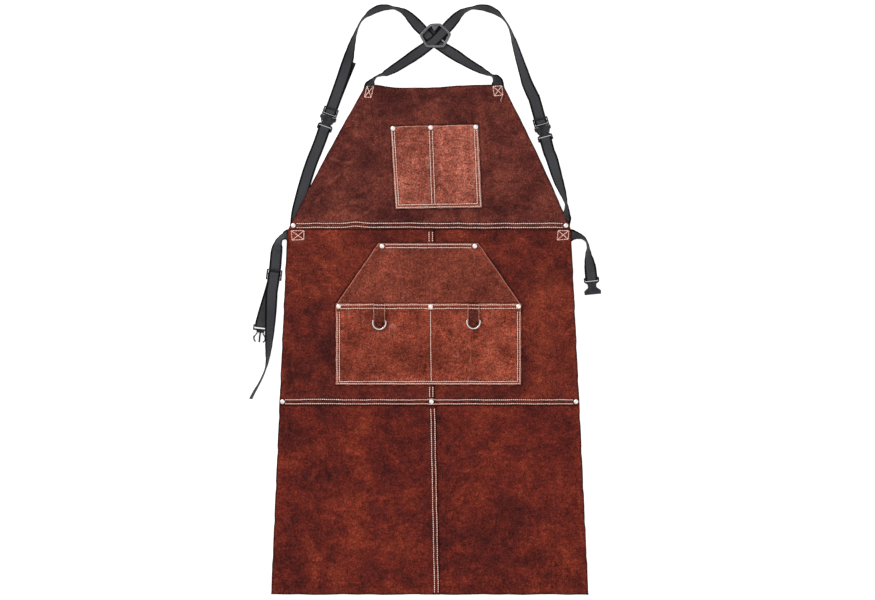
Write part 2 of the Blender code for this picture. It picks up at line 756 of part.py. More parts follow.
# Buckle frames: origin at the mouth of the socket, s towards its web bar.
BUCKLE_L = Place(-202.2, 384.0, -0.337, -0.9415)
BUCKLE_R = Place(243.8, 362.6, 0.265, -0.9642)
SOCKET_W = Place(350.0, 11.5, -0.095, 0.9955)        # waist socket: web bar above its mouth
INSERT_W = Place(-343.6, -51.5, -0.115, -0.9934)     # waist insert: s points away from its bar
TRIGLIDE = Place(-316.5, 52.7, -0.1132, -0.9936)

LEN_S, LEN_W = 31.0, 36.0                            # socket lengths
FOLD = [(-60, 3.0), (-42, 3.0), (-26, 2.9), (-18.5, 2.9), (-15.0, 3.6), (-12.6, 5.0), (-10.8, 5.5),
        (-8.6, 5.5), (-6.6, 5.0), (-5.4, 3.6), (-5.5, 2.2), (-6.6, 1.25), (-9, 1.0), (-20, 1.0)]


def strap_to_ladder(route, place, tail):
    """Webbing down to the ladder bars, over the middle bar and back beneath."""
    end = place.at(-60, 0, 0)
    up = route[:] + [(end.x, end.y, 2.35, 0)]
    rows = laid(up)[:-1]
    rows += place.threaded(FOLD)
    for s, off in tail:
        rows.append((place.at(s, off + WEB / MM / 2, 0.8), place.at(s, off - WEB / MM / 2, 0.8)))
    return rows


ROUTE_L = [(-120.5, 424.5, 0, 0), (-117.5, 438.5, 0, 0), (-115.5, 447.0, 0, 0), (-114.0, 455.5, 0, 0),
           (-110.5, 463.0, 0, 46), (-103.0, 469.0, 0, 80),
           (-88, 472.0, 0, 58), (-72, 478, 0, 38), (-53.5, 489.5, 0, 30), (-35.5, 502, 0.6, 20),
           (-18, 516, 2.5, 4), (-1, 532, 4.1, 0), (20, 553, 4.1, 0), (40, 571, 4.1, 0), (52, 581, 2.7, 14),
           (64, 590.5, 0.5, 38), (77, 600.0, 0, 60), (92, 608.2, 0, 82), (108, 610.8, 0, 66),
           (126.5, 608.2, 0, 52), (143.5, 600, 0, 56), (157.5, 591, 0, 76), (167, 581.5, 0, 86),
           (173, 571, 0, 82), (179.5, 554.5, 0, 68), (186, 535.5, 0.5, 54), (193, 517, 1.6, 44),
           (199.5, 497, 2.35, 34), (207, 474, 2.35, 22), (214.5, 450, 2.35, 10)]
ROUTE_R = [(155, 424.5, 0, 0), (153.5, 438.5, 0, 0), (152.0, 447, 0, 0), (150.5, 456.0, 0, 0),
           (146.5, 463.5, 0, -46), (138.0, 470, 0, -80),
           (122.5, 475.5, 0, -60), (109, 482, 0, -42), (94, 489.5, 0, -34), (76.5, 502, 0.0, -24),
           (60, 516, 1.4, -6), (42, 532, 2.0, 0), (20, 553, 2.0, 0), (0, 571, 2.0, 0), (-13, 581, 1.4, -14),
           (-27, 590.5, 0.2, -38), (-42, 600.0, 0, -60), (-58, 608.2, 0, -82), (-75.5, 610.8, 0, -66),
           (-94, 608.2, 0, -52), (-111, 600, 0, -56), (-124.5, 591, 0, -76), (-133.5, 581, 0, -86),
           (-139, 571.5, 0, -82), (-145.5, 556, 0.2, -66), (-151, 539.5, 0.8, -52), (-156, 523, 2.0, -40),
           (-161, 506, 2.35, -28), (-167, 486, 2.35, -16), (-174, 463, 2.35, -6)]

TAIL_R = [(-34, 0), (-50, 0.3), (-70, 1.0), (-90, 1.8), (-108, 2.6), (-124, 3.2)]
TAIL_L = [(-34, 0), (-50, 0), (-66, 0)]
webbing("shoulder_strap_left", strap_to_ladder(ROUTE_L, BUCKLE_R, TAIL_L))
webbing("shoulder_strap_right", strap_to_ladder(ROUTE_R, BUCKLE_L, TAIL_R))

# Short straps from the socket bars to the bib's waist corners. The end wraps the
# bar and is sewn back beneath.
BAR_S = 27.4


def side_strap(name, place, route, bar_s=BAR_S, tail=26.0):
    wrap = [(bar_s + tail, 0.8), (bar_s + 10, 0.9), (bar_s + 2.2, 1.2), (bar_s - 1.2, 1.3),
            (bar_s - 3.1, 1.7), (bar_s - 4.2, 2.9), (bar_s - 4.3, 4.6), (bar_s - 3.8, 6.3),
            (bar_s - 2.4, 7.5), (bar_s - 0.5, 7.8), (bar_s + 3.0, 7.7), (bar_s + 9.0, 5.6), (bar_s + 16.0, 3.6)]
    rows = place.threaded(wrap)
    start = place.at(bar_s + 28, 0, 0)
    rows += laid([(start.x, start.y, 1.75, 0)] + route)
    return webbing(name, rows)


SIDE_L = side_strap("side_strap_left", BUCKLE_L,
                    [(-229.5, 313, 1.2, 0), (-240.5, 290, 0.2, 0), (-252, 251, 0, 0), (-262.5, 209, 0, 0),
                     (-269.0, 180, 0, 0), (-271.5, 150.5, 0, 0)])
SIDE_R = side_strap("side_strap_right", BUCKLE_R,
                    [(263, 296, 1.2, 6), (270, 272, 0.2, 22), (277, 250, 0, 34), (286, 227, 0, 46),
                     (292.5, 211, 0, 34), (295.2, 201.5, 0, 2), (295.2, 193, 0, 0), (293.0, 174, 0, 0),
                     (289.0, 150.5, 0, 0)])
bm = bmesh.new()
for x, y in ((-276.5, 155.8), (293.5, 155.8)):
    bmesh.ops.create_cone(bm, cap_ends=True, segments=12, radius1=4.3 * MM, radius2=4.3 * MM,
                          depth=6 * MM, matrix=Matrix.Translation((x * MM, y * MM, 0)))
me = bpy.data.meshes.new("strap_holes")
bm.to_mesh(me)
bm.free()
STRAP_HOLES = bpy.data.objects.new("strap_holes", me)
TOOLS.objects.link(STRAP_HOLES)
STRAP_HOLES.hide_render = True
STRAP_HOLES.display_type = "WIRE"
for ob in (SIDE_L, SIDE_R):
    mod = ob.modifiers.new("rivet_eye", "BOOLEAN")
    mod.operation = "DIFFERENCE"
    mod.solver = "EXACT"
    mod.object = STRAP_HOLES

# Right waist strap: sewn under the corner, out to the socket, round its bar.
BAR_W = 33.4


WR = [(283, 135.5, 0, 0), (300, 135.5, 0, 0), (306.5, 135.6, 0, 0), (311, 135.8, 0, 2), (316, 136.2, 0, 30),
      (322.5, 135.6, 0, 56), (331, 131, 0, 74), (337, 121.5, 0, 86), (339.5, 110, 0, 82), (340, 96, 0, 64),
      (342.2, 81, 0.4, 40), (344.3, 68, 1.6, 16)]
p = SOCKET_W.at(BAR_W + 14, 0, 0)
rows = laid(WR + [(p.x, p.y, 3.4, 0)])
rows += SOCKET_W.threaded([(BAR_W + 8, 6.0), (BAR_W + 3.0, 7.7), (BAR_W - 0.5, 7.8), (BAR_W - 2.4, 7.5),
                           (BAR_W - 3.8, 6.3), (BAR_W - 4.3, 4.6), (BAR_W - 4.2, 2.9), (BAR_W - 3.1, 1.7),
                           (BAR_W - 1.2, 1.3), (BAR_W + 2.2, 1.2), (BAR_W + 8, 0.9), (BAR_W + 16, 0.8)])
# webbing rows change hands where the direction is reversed, so keep sides matched
n_laid = len(rows) - 12
rows = rows[:n_laid] + [(b4, a4) for a4, b4 in rows[n_laid:]]
webbing("waist_strap_right", rows)

# Left waist strap: sewn under the corner, flat under the three-bar slide, round
# the insert's bar, back up, over the slide's middle bar and down as a free tail.
WL = [(-259, 135.5, 0, 0), (-280, 135.5, 0, 0), (-287.5, 135.4, 0, 0), (-295.5, 135.2, 0, 0),
      (-302.0, 131.8, 0, 52), (-307.5, 123, 0, 56), (-309.5, 110.5, 0, 26), (-312, 98, 0, 8)]
a = TRIGLIDE.at(-22, 0, 0)
rows = laid(WL + [(a.x, a.y, 0, 0)])
q = INSERT_W.at(0, 0, 0)
span = [TRIGLIDE.at(s, 0, 0) for s in (-12, 0, 14)]
run = [(v.x, v.y, 0, 0) for v in span]
for f in (0.40, 0.62, 0.84):
    v = TRIGLIDE.at(14, 0, 0).lerp(INSERT_W.at(-6, 0, 0), f)
    run.append((v.x, v.y, 0, 0))
v = INSERT_W.at(-8, 0, 0)
run.append((v.x, v.y, 0.0, 0))
rows += laid(run, 1)
BAR_I = 2.2


wrap = [(BAR_I - 3.6, 0.9), (BAR_I, 1.1), (BAR_I + 2.6, 1.6), (BAR_I + 3.6, 3.2), (BAR_I + 3.3, 5.4),
        (BAR_I + 1.4, 6.9), (BAR_I - 1.2, 6.7), (BAR_I - 4.4, 4.6), (BAR_I - 8.0, 3.0)]
rows += INSERT_W.threaded(wrap)
back = []
for f in (0.80, 0.60, 0.40, 0.20):
    v = TRIGLIDE.at(14, 0, 0).lerp(INSERT_W.at(-8, 0, 0), f)
    d = (INSERT_W.at(-8, 0, 0) - TRIGLIDE.at(14, 0, 0)).normalized()
    w = Vector((-d.y, d.x, 0)) * (WEB / MM / 2)
    c = Vector((v.x, v.y, 2.45))
    back.append((c + w, c - w))
rows += back
rows += TRIGLIDE.threaded([(10, 2.4), (4, 2.3), (-1.6, 2.35), (-4.0, 3.2), (-4.6, 4.6), (-3.8, 6.0),
                           (-1.4, 6.8), (3.0, 7.0), (10.0, 7.2), (17, 7.6)])
TAIL_ROUTE = [(-321.6, 17, 7.4, 0), (-323.5, -10, 7.4, 0), (-325.3, -36, 7.6, 0), (-327.0, -62, 7.6, 0),
              (-328.2, -94, 7.0, 4), (-328.8, -112, 2.6, 40), (-330.0, -127, 0, 80), (-334.5, -146, 0, 88),
              (-345, -170, 0, 86), (-357, -191, 0, 82), (-364.8, -206.5, 0, 80)]
rows += laid(TAIL_ROUTE)
webbing("waist_strap_left", rows)

# ---------------------------------------------------------------- plastic
# Plastic pieces are drawn with X across the webbing and Y against s, in mm.


def socket_mesh(length, bar_s):
    """Side-release socket: waisted body, open mouth, side windows, web bar."""
    L = length
    out = [(17.3, 0), (17.5, -0.22 * L), (13.6, -0.31 * L), (9.4, -0.39 * L), (8.7, -0.46 * L),
           (9.2, -(bar_s - 11.6)), (15.6, -(bar_s - 7.6)), (16.0, -(bar_s - 3.0)),
           (16.0, -(L - 1.0)), (15.0, -L)]
    ring = out + [(-x, y) for x, y in reversed(out)]
    body = plate([ring], 0.4, 8.6)
    cavity = block(-14.4, 14.4, -(bar_s - 9.4), 1.0, 2.2, 6.8)
    slot = block(-13.3, 13.3, -(bar_s - 2.2), -(bar_s - 5.8), -1, 10)
    under = block(-13.3, 13.3, -(L + 1), -(bar_s - 4), -1, 2.4)
    over = block(-13.3, 13.3, -(L + 1), -(bar_s - 4), 6.4, 10)
    return combine(body, [cavity, slot, under, over], "DIFFERENCE")


def socket(name, place, length, bar_s):
    me = socket_mesh(length, bar_s)
    me.transform(Matrix.Translation((0, bar_s * MM, -4.4 * MM)))
    m = place.matrix() @ Matrix.Translation((0, -bar_s * MM, 4.4 * MM))
    return add(name, me, PLASTIC, 0.0, m)


def insert_mesh(length, ladder):
    """Insert: base with web bars, tongue and centre guide. Y = 0 at the mouth."""
    base = plate([[(15.8, 0.6), (16.0, 4.2), (-16.0, 4.2), (-15.8, 0.6)]], 2.7, 6.3)
    g = length
    adds = [block(-8.0, 8.0, -4.0, 1.5, 2.7, 6.3),
            block(-1.7, 1.7, -g, -3.0, 3.2, 5.8)]
    if ladder:
        adds += [block(-16.0, -13.4, 3.0, 18.6, 2.7, 6.3), block(13.4, 16.0, 3.0, 18.6, 2.7, 6.3),
                 block(-16.0, 16.0, 15.4, 18.6, 4.2, 6.6),
                 block(-14.0, 14.0, 8.2, 10.8, 2.75, 4.5)]
    else:
        adds += [block(-16.0, -13.4, 3.0, 12.6, 2.7, 6.3), block(13.4, 16.0, 3.0, 12.6, 2.7, 6.3),
                 block(-16.0, 16.0, 9.4, 12.6, 2.9, 5.7)]
    return combine(base, adds, "UNION")


def prong_mesh(length, sign):
    """A springy arm with a barb, hinge point at (5.6, -4.6) beside the tongue."""
    L = length
    pts = [(4.6, -4.6), (7.6, -4.6), (11.2, -L * 0.42), (13.6, -L * 0.50), (13.9, -L * 0.62),
           (12.4, -L * 0.86), (9.4, -L * 0.99), (7.4, -L), (7.0, -L * 0.93), (9.6, -L * 0.80),
           (10.6, -L * 0.66), (9.4, -L * 0.50)]
    ring = [(sign * (x - 6.1), y + 4.6) for x, y in pts]
    if sign < 0:
        ring.reverse()
    return plate([ring], 2.9 - 4.5, 6.1 - 4.5)


def place_insert(prefix, place, length, ladder, flip=False):
    m = place.matrix()
    if flip:
        m = m @ Matrix.Rotation(math.pi, 4, "Z")
    ins = add(prefix + "_insert", insert_mesh(length, ladder), PLASTIC, 0.0, m)
    for side, sign in (("a", 1), ("b", -1)):
        pr = add(prefix + "_prong_" + side, prong_mesh(length, sign), PLASTIC, 0.0)
        pr.parent = ins
        pr.matrix_parent_inverse = Matrix.Identity(4)
        pr.location = (sign * 6.1 * MM, -4.6 * MM, 4.5 * MM)
    return ins


for prefix, place in (("left_buckle", BUCKLE_L), ("right_buckle", BUCKLE_R)):
    socket(prefix + "_socket", place, LEN_S, BAR_S)
    place_insert(prefix, place, 16.6, True)
socket("waist_socket", SOCKET_W, LEN_W, BAR_W)

# the waist insert: mouth plane 12 mm beyond its web bar
WI = Place(*(INSERT_W.at(13.2, 0, 0)[:2]), INSERT_W.s.x, INSERT_W.s.y)
place_insert("waist", WI, 24.0, False)

# three-bar slide
tri = plate([[(16.4, 11.2), (16.4, -11.2), (-16.4, -11.2), (-16.4, 11.2)],
             [(13.4, 8.8), (-13.4, 8.8), (-13.4, 2.2), (13.4, 2.2)],
             [(13.4, -1.2), (-13.4, -1.2), (-13.4, -8.8), (13.4, -8.8)]], 3.4, 5.9)
add("waist_triglide", tri, PLASTIC, 0.0, TRIGLIDE.matrix())

# cross-over slider: back plate, three posts and a front ring
HEXA = [(-34.1, 1.5), (-23.2, -18.6), (-18.2, -25.5), (16.9, -25.5), (20.9, -21.5), (34.3, 3.3), (10.9, 25.5), (-11.1, 24.5)]


def inset(pts, d):
    """Outline moved inwards by d."""
    n = len(pts)
    area = sum(pts[k][0] * pts[(k + 1) % n][1] - pts[(k + 1) % n][0] * pts[k][1] for k in range(n))
    sgn = 1.0 if area > 0 else -1.0
    out = []
    for k in range(n):
        a, b5, c = Vector(pts[k - 1]), Vector(pts[k]), Vector(pts[(k + 1) % n])
        d1, d2 = (b5 - a).normalized(), (c - b5).normalized()
        n1, n2 = Vector((-d1.y, d1.x)) * sgn, Vector((-d2.y, d2.x)) * sgn
        nn = (n1 + n2).normalized()
        q5 = b5 + nn * (d / max(0.4, nn.dot(n1)))
        out.append((q5.x, q5.y))
    return out


ring_top = plate([HEXA, inset(HEXA, 5.2)], 6.2, 8.6)
back_plate = plate([inset(HEXA, 0.4)], 0.2, 1.7)
posts = [plate([[(-4.0, 25.0), (-2.6, 20.4), (2.8, 20.4), (4.0, 25.2)]], 1.0, 7.0),
         plate([[(-33.0, 1.4), (-28.5, -4.0), (-25.0, -0.2), (-28.4, 5.0)]], 1.0, 7.0),
         plate([[(33.0, 3.0), (28.4, 6.0), (25.2, 0.8), (28.5, -3.4)]], 1.0, 7.0)]
slider = combine(back_plate, posts + [ring_top], "UNION")
add("cross_slider", slider, PLASTIC, 0.0, Matrix.Translation((20.5 * MM, 553 * MM, 0)))

# ---------------------------------------------------------------- rings and tabs
RING_R = 13.6               # centreline radius of the ring's arc
WIRE = 1.25


def d_ring(name, x, y, z, tilt):
    cu = bpy.data.curves.new(name, "CURVE")
    cu.dimensions = "3D"
    cu.bevel_depth = WIRE * MM
    cu.bevel_resolution = 1
    cu.fill_mode = "FULL"
    sp = cu.splines.new("POLY")
    pts = [(-RING_R, 0.0), (-RING_R / 2, 0.0), (RING_R / 2, 0.0), (RING_R, 0.0)]
    pts[0], pts[-1] = (-RING_R + 0.8, 0.0), (RING_R - 0.8, 0.0)
    pts += [(RING_R, -0.8)]
    for k in range(0, 13):
        a6 = math.pi * k / 12
        pts.append((RING_R * math.cos(a6), -4.2 - RING_R * math.sin(a6)))
    pts += [(-RING_R, -0.8)]
    sp.points.add(len(pts) - 1)
    for k, (px, py) in enumerate(pts):
        sp.points[k].co = (px * MM, py * MM, 0, 1)
    sp.use_cyclic_u = True
    tmp = temp(cu)
    me = mesh_of(tmp)
    bpy.data.objects.remove(tmp, do_unlink=True)
    m = Matrix.Translation((x * MM, y * MM, z * MM)) @ Matrix.Rotation(math.radians(tilt), 4, "X")
    return add(name, me, NICKEL, 1.0, m, smooth=True)


def loop_tab(name, x, y_top, y_axis, z0, z_axis, width=23.5):
    ro, ri = 3.3, 1.8
    outer = [(y_top, z0), (y_top, z0 + 3.0)]
    start, stop = math.radians(55), math.radians(300)
    steps = 10
    for k in range(steps + 1):
        a8 = start + (stop - start) * k / steps
        outer.append((y_axis + ro * math.cos(a8), z_axis + ro * math.sin(a8)))
    inner = [(y_axis + ri * math.cos(2 * math.pi * k / 10), z_axis + ri * math.sin(2 * math.pi * k / 10))
             for k in range(10)]
    me = plate([[(p9[0], p9[1]) for p9 in outer], inner], -width / 2, width / 2)
    # plate lies in its own XY: turn so that its X becomes +Y, its Y becomes +Z
    m = Matrix(((0, 0, 1, x * MM), (1, 0, 0, 0), (0, 1, 0, 0), (0, 0, 0, 1)))
    me.transform(m)
    bm2 = bmesh.new()
    bm2.from_mesh(me)
    bmesh.ops.recalc_face_normals(bm2, faces=bm2.faces)
    bm2.to_mesh(me)
    bm2.free()
    return add(name, me, BODY_HIDE)


TAB_Z = 13.7
loop_tab("ring_tab_left", -96.5, -6.5, -43.5, TAB_Z, TAB_Z + 2.2)
loop_tab("ring_tab_right", 100.0, -7.5, -42.0, TAB_Z, TAB_Z + 2.2)
d_ring("d_ring_left", -96.5, -43.5, TAB_Z + 2.2, 7.0)
d_ring("d_ring_right", 100.0, -42.0, TAB_Z + 2.2, 7.0)

for ob in PARTS.objects:
    if ob.type == "MESH":
        ob.data.name = ob.name
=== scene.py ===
"""Looks of the leather welding apron: hides, stitches, rivets, webbing and plastics."""

import json
import math

import bmesh
import bpy
import numpy as np
from mathutils import Matrix, Vector

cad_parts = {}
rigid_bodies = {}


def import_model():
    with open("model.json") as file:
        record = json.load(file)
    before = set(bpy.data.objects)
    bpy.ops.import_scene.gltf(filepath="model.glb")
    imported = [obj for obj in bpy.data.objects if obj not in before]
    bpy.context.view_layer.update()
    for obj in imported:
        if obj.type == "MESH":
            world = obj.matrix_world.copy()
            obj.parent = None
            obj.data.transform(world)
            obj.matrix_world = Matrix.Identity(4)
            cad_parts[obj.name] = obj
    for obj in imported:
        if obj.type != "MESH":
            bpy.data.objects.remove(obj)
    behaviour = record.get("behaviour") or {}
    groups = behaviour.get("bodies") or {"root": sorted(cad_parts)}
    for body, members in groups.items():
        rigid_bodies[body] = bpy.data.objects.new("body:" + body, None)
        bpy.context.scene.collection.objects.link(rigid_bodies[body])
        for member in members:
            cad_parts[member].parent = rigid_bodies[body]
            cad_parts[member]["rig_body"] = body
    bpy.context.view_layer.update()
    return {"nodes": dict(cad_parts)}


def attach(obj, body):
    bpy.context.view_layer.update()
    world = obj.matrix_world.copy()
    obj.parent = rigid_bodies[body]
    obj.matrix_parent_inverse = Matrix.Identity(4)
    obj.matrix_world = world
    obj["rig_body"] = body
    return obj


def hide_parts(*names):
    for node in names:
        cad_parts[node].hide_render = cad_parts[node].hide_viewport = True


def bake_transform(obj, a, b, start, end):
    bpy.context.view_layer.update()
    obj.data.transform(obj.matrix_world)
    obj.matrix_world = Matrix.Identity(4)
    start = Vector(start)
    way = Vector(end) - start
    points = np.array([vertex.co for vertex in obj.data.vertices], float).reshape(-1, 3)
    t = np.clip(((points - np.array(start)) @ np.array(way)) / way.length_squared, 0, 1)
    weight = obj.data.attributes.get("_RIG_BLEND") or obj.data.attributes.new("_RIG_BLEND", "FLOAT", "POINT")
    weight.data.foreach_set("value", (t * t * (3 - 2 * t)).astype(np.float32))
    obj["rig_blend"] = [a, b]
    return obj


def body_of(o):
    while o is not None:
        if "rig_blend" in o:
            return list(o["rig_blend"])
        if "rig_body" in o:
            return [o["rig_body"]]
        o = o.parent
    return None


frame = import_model()
MM = 0.001

# ------------------------------------------------------------------ camera, floor, lights
scene = bpy.context.scene
scene.view_settings.view_transform = "Standard"
scene.view_settings.look = "None"
cam_data = bpy.data.cameras.new("camera")
cam_data.lens = 85.0
cam_data.sensor_width = 36.0
cam_data.clip_end = 60.0
cam = bpy.data.objects.new("camera", cam_data)
cam.location = (0.0251, 0.0, 4.3246)
scene.collection.objects.link(cam)
scene.camera = cam

world = bpy.data.worlds.new("studio")
world.use_nodes = True
world.node_tree.nodes["Background"].inputs["Color"].default_value = (1.0, 1.0, 1.0, 1.0)
world.node_tree.nodes["Background"].inputs["Strength"].default_value = 0.55
scene.world = world


def softbox(name, loc, aim, size, watts, tint=(1.0, 1.0, 1.0)):
    d = bpy.data.lights.new(name, "AREA")
    d.shape = "SQUARE"
    d.size = size
    d.energy = watts
    d.color = tint
    ob = bpy.data.objects.new(name, d)
    ob.location = loc
    ob.rotation_euler = (Vector(aim) - Vector(loc)).to_track_quat("-Z", "Y").to_euler()
    scene.collection.objects.link(ob)
    return ob


softbox("key", (-1.9, 2.3, 2.2), (0, 0.05, 0), 0.9, 80.0)
softbox("fill", (2.2, -1.2, 2.6), (0, -0.1, 0), 2.6, 26.0)


# ------------------------------------------------------------------ small helpers
def srgb(r, g, b):
    def one(v):
        v /= 255.0
        return v / 12.92 if v <= 0.04045 else ((v + 0.055) / 1.055) ** 2.4
    return (one(r), one(g), one(b), 1.0)


def st(v, a, b):
    """Smooth step: 0 at a, 1 at b."""
    t = np.clip((v - a) / (b - a), 0.0, 1.0)
    return t * t * (3 - 2 * t)


def wob(t, seed, wl):
    """Smooth wander in -1..1 along t, wavelength wl, both in mm."""
    r = np.random.default_rng(seed)
    out = 0.0
    for k, a in enumerate((0.5, 0.3, 0.2)):
        out = out + a * np.sin(np.asarray(t) * (2 * math.pi * (1 + 0.93 * k) / wl) + r.uniform(0, 6.28))
    return out


def lump(x, y, seed, wl):
    """Smooth two-way lumps in about -1..1."""
    r = np.random.default_rng(seed)
    out = 0.0
    for k in range(7):
        a = r.uniform(0, math.pi)
        f = 2 * math.pi / (wl * r.uniform(0.7, 1.5))
        out = out + np.sin((x * math.cos(a) + y * math.sin(a)) * f + r.uniform(0, 6.28))
    return out / 3.2


def lines(a, b, step, fine=()):
    """Positions from a to b, closer inside the fine (low, high, step) spans."""
    fine = list(fine) + [(a, a + 0.8, 0.8), (b - 0.8, b, 0.8)]
    out = [a]
    while out[-1] < b - 1e-6:
        p, s = out[-1], step
        for lo, hi, f in fine:
            if lo - 1e-6 <= p < hi - 1e-6:
                s = min(s, f)
            elif p < lo < p + s:
                s = min(s, lo - p)
        out.append(min(p + s, b))
    keep = [out[0]] + [q for k, q in enumerate(out[1:-1], 1) if q - out[k - 1] > 0.05] + [out[-1]]
    return np.array(keep)


def seg_dist(x, y, rows, far=14.0):
    """Distance in mm from each point to the nearest of the polylines."""
    best = np.full(x.shape, 1e3)
    for row in rows:
        p = np.asarray(row, float)
        lo, hi = p.min(0) - far, p.max(0) + far
        near = (x > lo[0]) & (x < hi[0]) & (y > lo[1]) & (y < hi[1])
        if not near.any():
            continue
        qx, qy = x[near], y[near]
        b = np.full(qx.shape, 1e3)
        for k in range(len(p) - 1):
            a, d = p[k], p[k + 1] - p[k]
            l2 = max(float(d @ d), 1e-9)
            close = (qx > min(a[0], p[k + 1][0]) - far) & (qx < max(a[0], p[k + 1][0]) + far) & \
                    (qy > min(a[1], p[k + 1][1]) - far) & (qy < max(a[1], p[k + 1][1]) + far)
            if not close.any():
                continue
            cx, cy = qx[close] - a[0], qy[close] - a[1]
            t = np.clip((cx * d[0] + cy * d[1]) / l2, 0, 1)
            e = np.hypot(cx - t * d[0], cy - t * d[1])
            b[close] = np.minimum(b[close], e)
        best[near] = np.minimum(best[near], b)
    return best


def make(name, verts_mm, faces, mat, body="root", node=None, smooth=True, attrs=None, angle=None):
    me = bpy.data.meshes.new(name)
    V = np.asarray(verts_mm, float)
    faces = faces if isinstance(faces, list) else faces.tolist()
    C = V - V.mean(0)
    vol = 0.0
    for n in {len(f) for f in faces}:
        A = np.array([f for f in faces if len(f) == n])
        for q in range(1, n - 1):
            vol += float(np.einsum("ij,ij->i", C[A[:, 0]], np.cross(C[A[:, q]], C[A[:, q + 1]])).sum())
    if vol < 0:
        faces = [f[::-1] for f in faces]
    me.from_pydata((V * MM).tolist(), [], faces)
    me.update()
    for key, data in (attrs or {}).items():
        at = me.attributes.new(key, "FLOAT", "POINT")
        at.data.foreach_set("value", np.asarray(data, np.float32))
    if smooth:
        me.shade_smooth()
        if angle:
            me.set_sharp_from_angle(angle=math.radians(angle))
    me.materials.append(mat)
    ob = bpy.data.objects.new(name, me)
    scene.collection.objects.link(ob)
    if body:
        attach(ob, body)
    for n in ([node] if isinstance(node, str) else node or []):
        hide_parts(n)
    return ob


# ------------------------------------------------------------------ materials
class Mat:
    """Short names for the shader nodes."""

    def __init__(self, name):
        self.m = bpy.data.materials.new(name)
        self.m.use_nodes = True
        self.t = self.m.node_tree
        self.t.nodes.clear()
        self.out = self.t.nodes.new("ShaderNodeOutputMaterial")
        self.b = self.t.nodes.new("ShaderNodeBsdfPrincipled")
        self.t.links.new(self.b.outputs[0], self.out.inputs[0])
        self.obj = self.t.nodes.new("ShaderNodeTexCoord").outputs["Object"]

    def put(self, sock, v):
        if isinstance(v, bpy.types.NodeSocket):
            self.t.links.new(v, sock)
        else:
            sock.default_value = v

    def noise(self, scale, detail=2.0, rough=0.5, distort=0.0, vec=None):
        n = self.t.nodes.new("ShaderNodeTexNoise")
        n.inputs["Scale"].default_value = scale
        n.inputs["Detail"].default_value = detail
        n.inputs["Roughness"].default_value = rough
        n.inputs["Distortion"].default_value = distort
        self.put(n.inputs["Vector"], vec or self.obj)
        return n.outputs[0]

    def voro(self, scale, vec=None, feature="F1"):
        n = self.t.nodes.new("ShaderNodeTexVoronoi")
        n.feature = feature
        n.inputs["Scale"].default_value = scale
        self.put(n.inputs["Vector"], vec or self.obj)
        return n.outputs["Distance"]

    def at(self, loc=(0, 0, 0), rot=(0, 0, 0), scale=(1, 1, 1), vec=None):
        n = self.t.nodes.new("ShaderNodeMapping")
        n.inputs["Location"].default_value = loc
        n.inputs["Rotation"].default_value = rot
        n.inputs["Scale"].default_value = scale
        self.put(n.inputs["Vector"], vec or self.obj)
        return n.outputs[0]

    def ramp(self, fac, stops):
        n = self.t.nodes.new("ShaderNodeValToRGB")
        e = n.color_ramp.elements
        while len(e) < len(stops):
            e.new(0.5)
        for k, (p, c) in enumerate(stops):
            e[k].position = p
            e[k].color = c if not isinstance(c, (int, float)) else (c, c, c, 1.0)
        self.put(n.inputs[0], fac)
        return n.outputs[0]

    def mix(self, fac, a, b, blend="MIX"):
        n = self.t.nodes.new("ShaderNodeMix")
        n.data_type = "RGBA"
        n.blend_type = blend
        self.put(n.inputs[0], fac)
        self.put(n.inputs[6], a)
        self.put(n.inputs[7], b)
        return n.outputs[2]

    def m2(self, op, a, b=0.0, c=None):
        n = self.t.nodes.new("ShaderNodeMath")
        n.operation = op
        self.put(n.inputs[0], a)
        self.put(n.inputs[1], b)
        if c is not None:
            self.put(n.inputs[2], c)
        return n.outputs[0]

    def attr(self, name):
        n = self.t.nodes.new("ShaderNodeAttribute")
        n.attribute_name = name
        return n.outputs["Fac"]

    def bump(self, height, dist, strength=1.0, normal=None):
        n = self.t.nodes.new("ShaderNodeBump")
        n.inputs["Distance"].default_value = dist
        n.inputs["Strength"].default_value = strength
        self.put(n.inputs["Height"], height)
        if normal is not None:
            self.put(n.inputs["Normal"], normal)
        return n.outputs[0]

    def done(self, colour, rough, normal=None, **sockets):
        self.put(self.b.inputs["Base Color"], colour)
        self.put(self.b.inputs["Roughness"], rough)
        if normal is not None:
            self.put(self.b.inputs["Normal"], normal)
        for key, v in sockets.items():
            self.b.inputs[key.replace("_", " ")].default_value = v
        return self.m


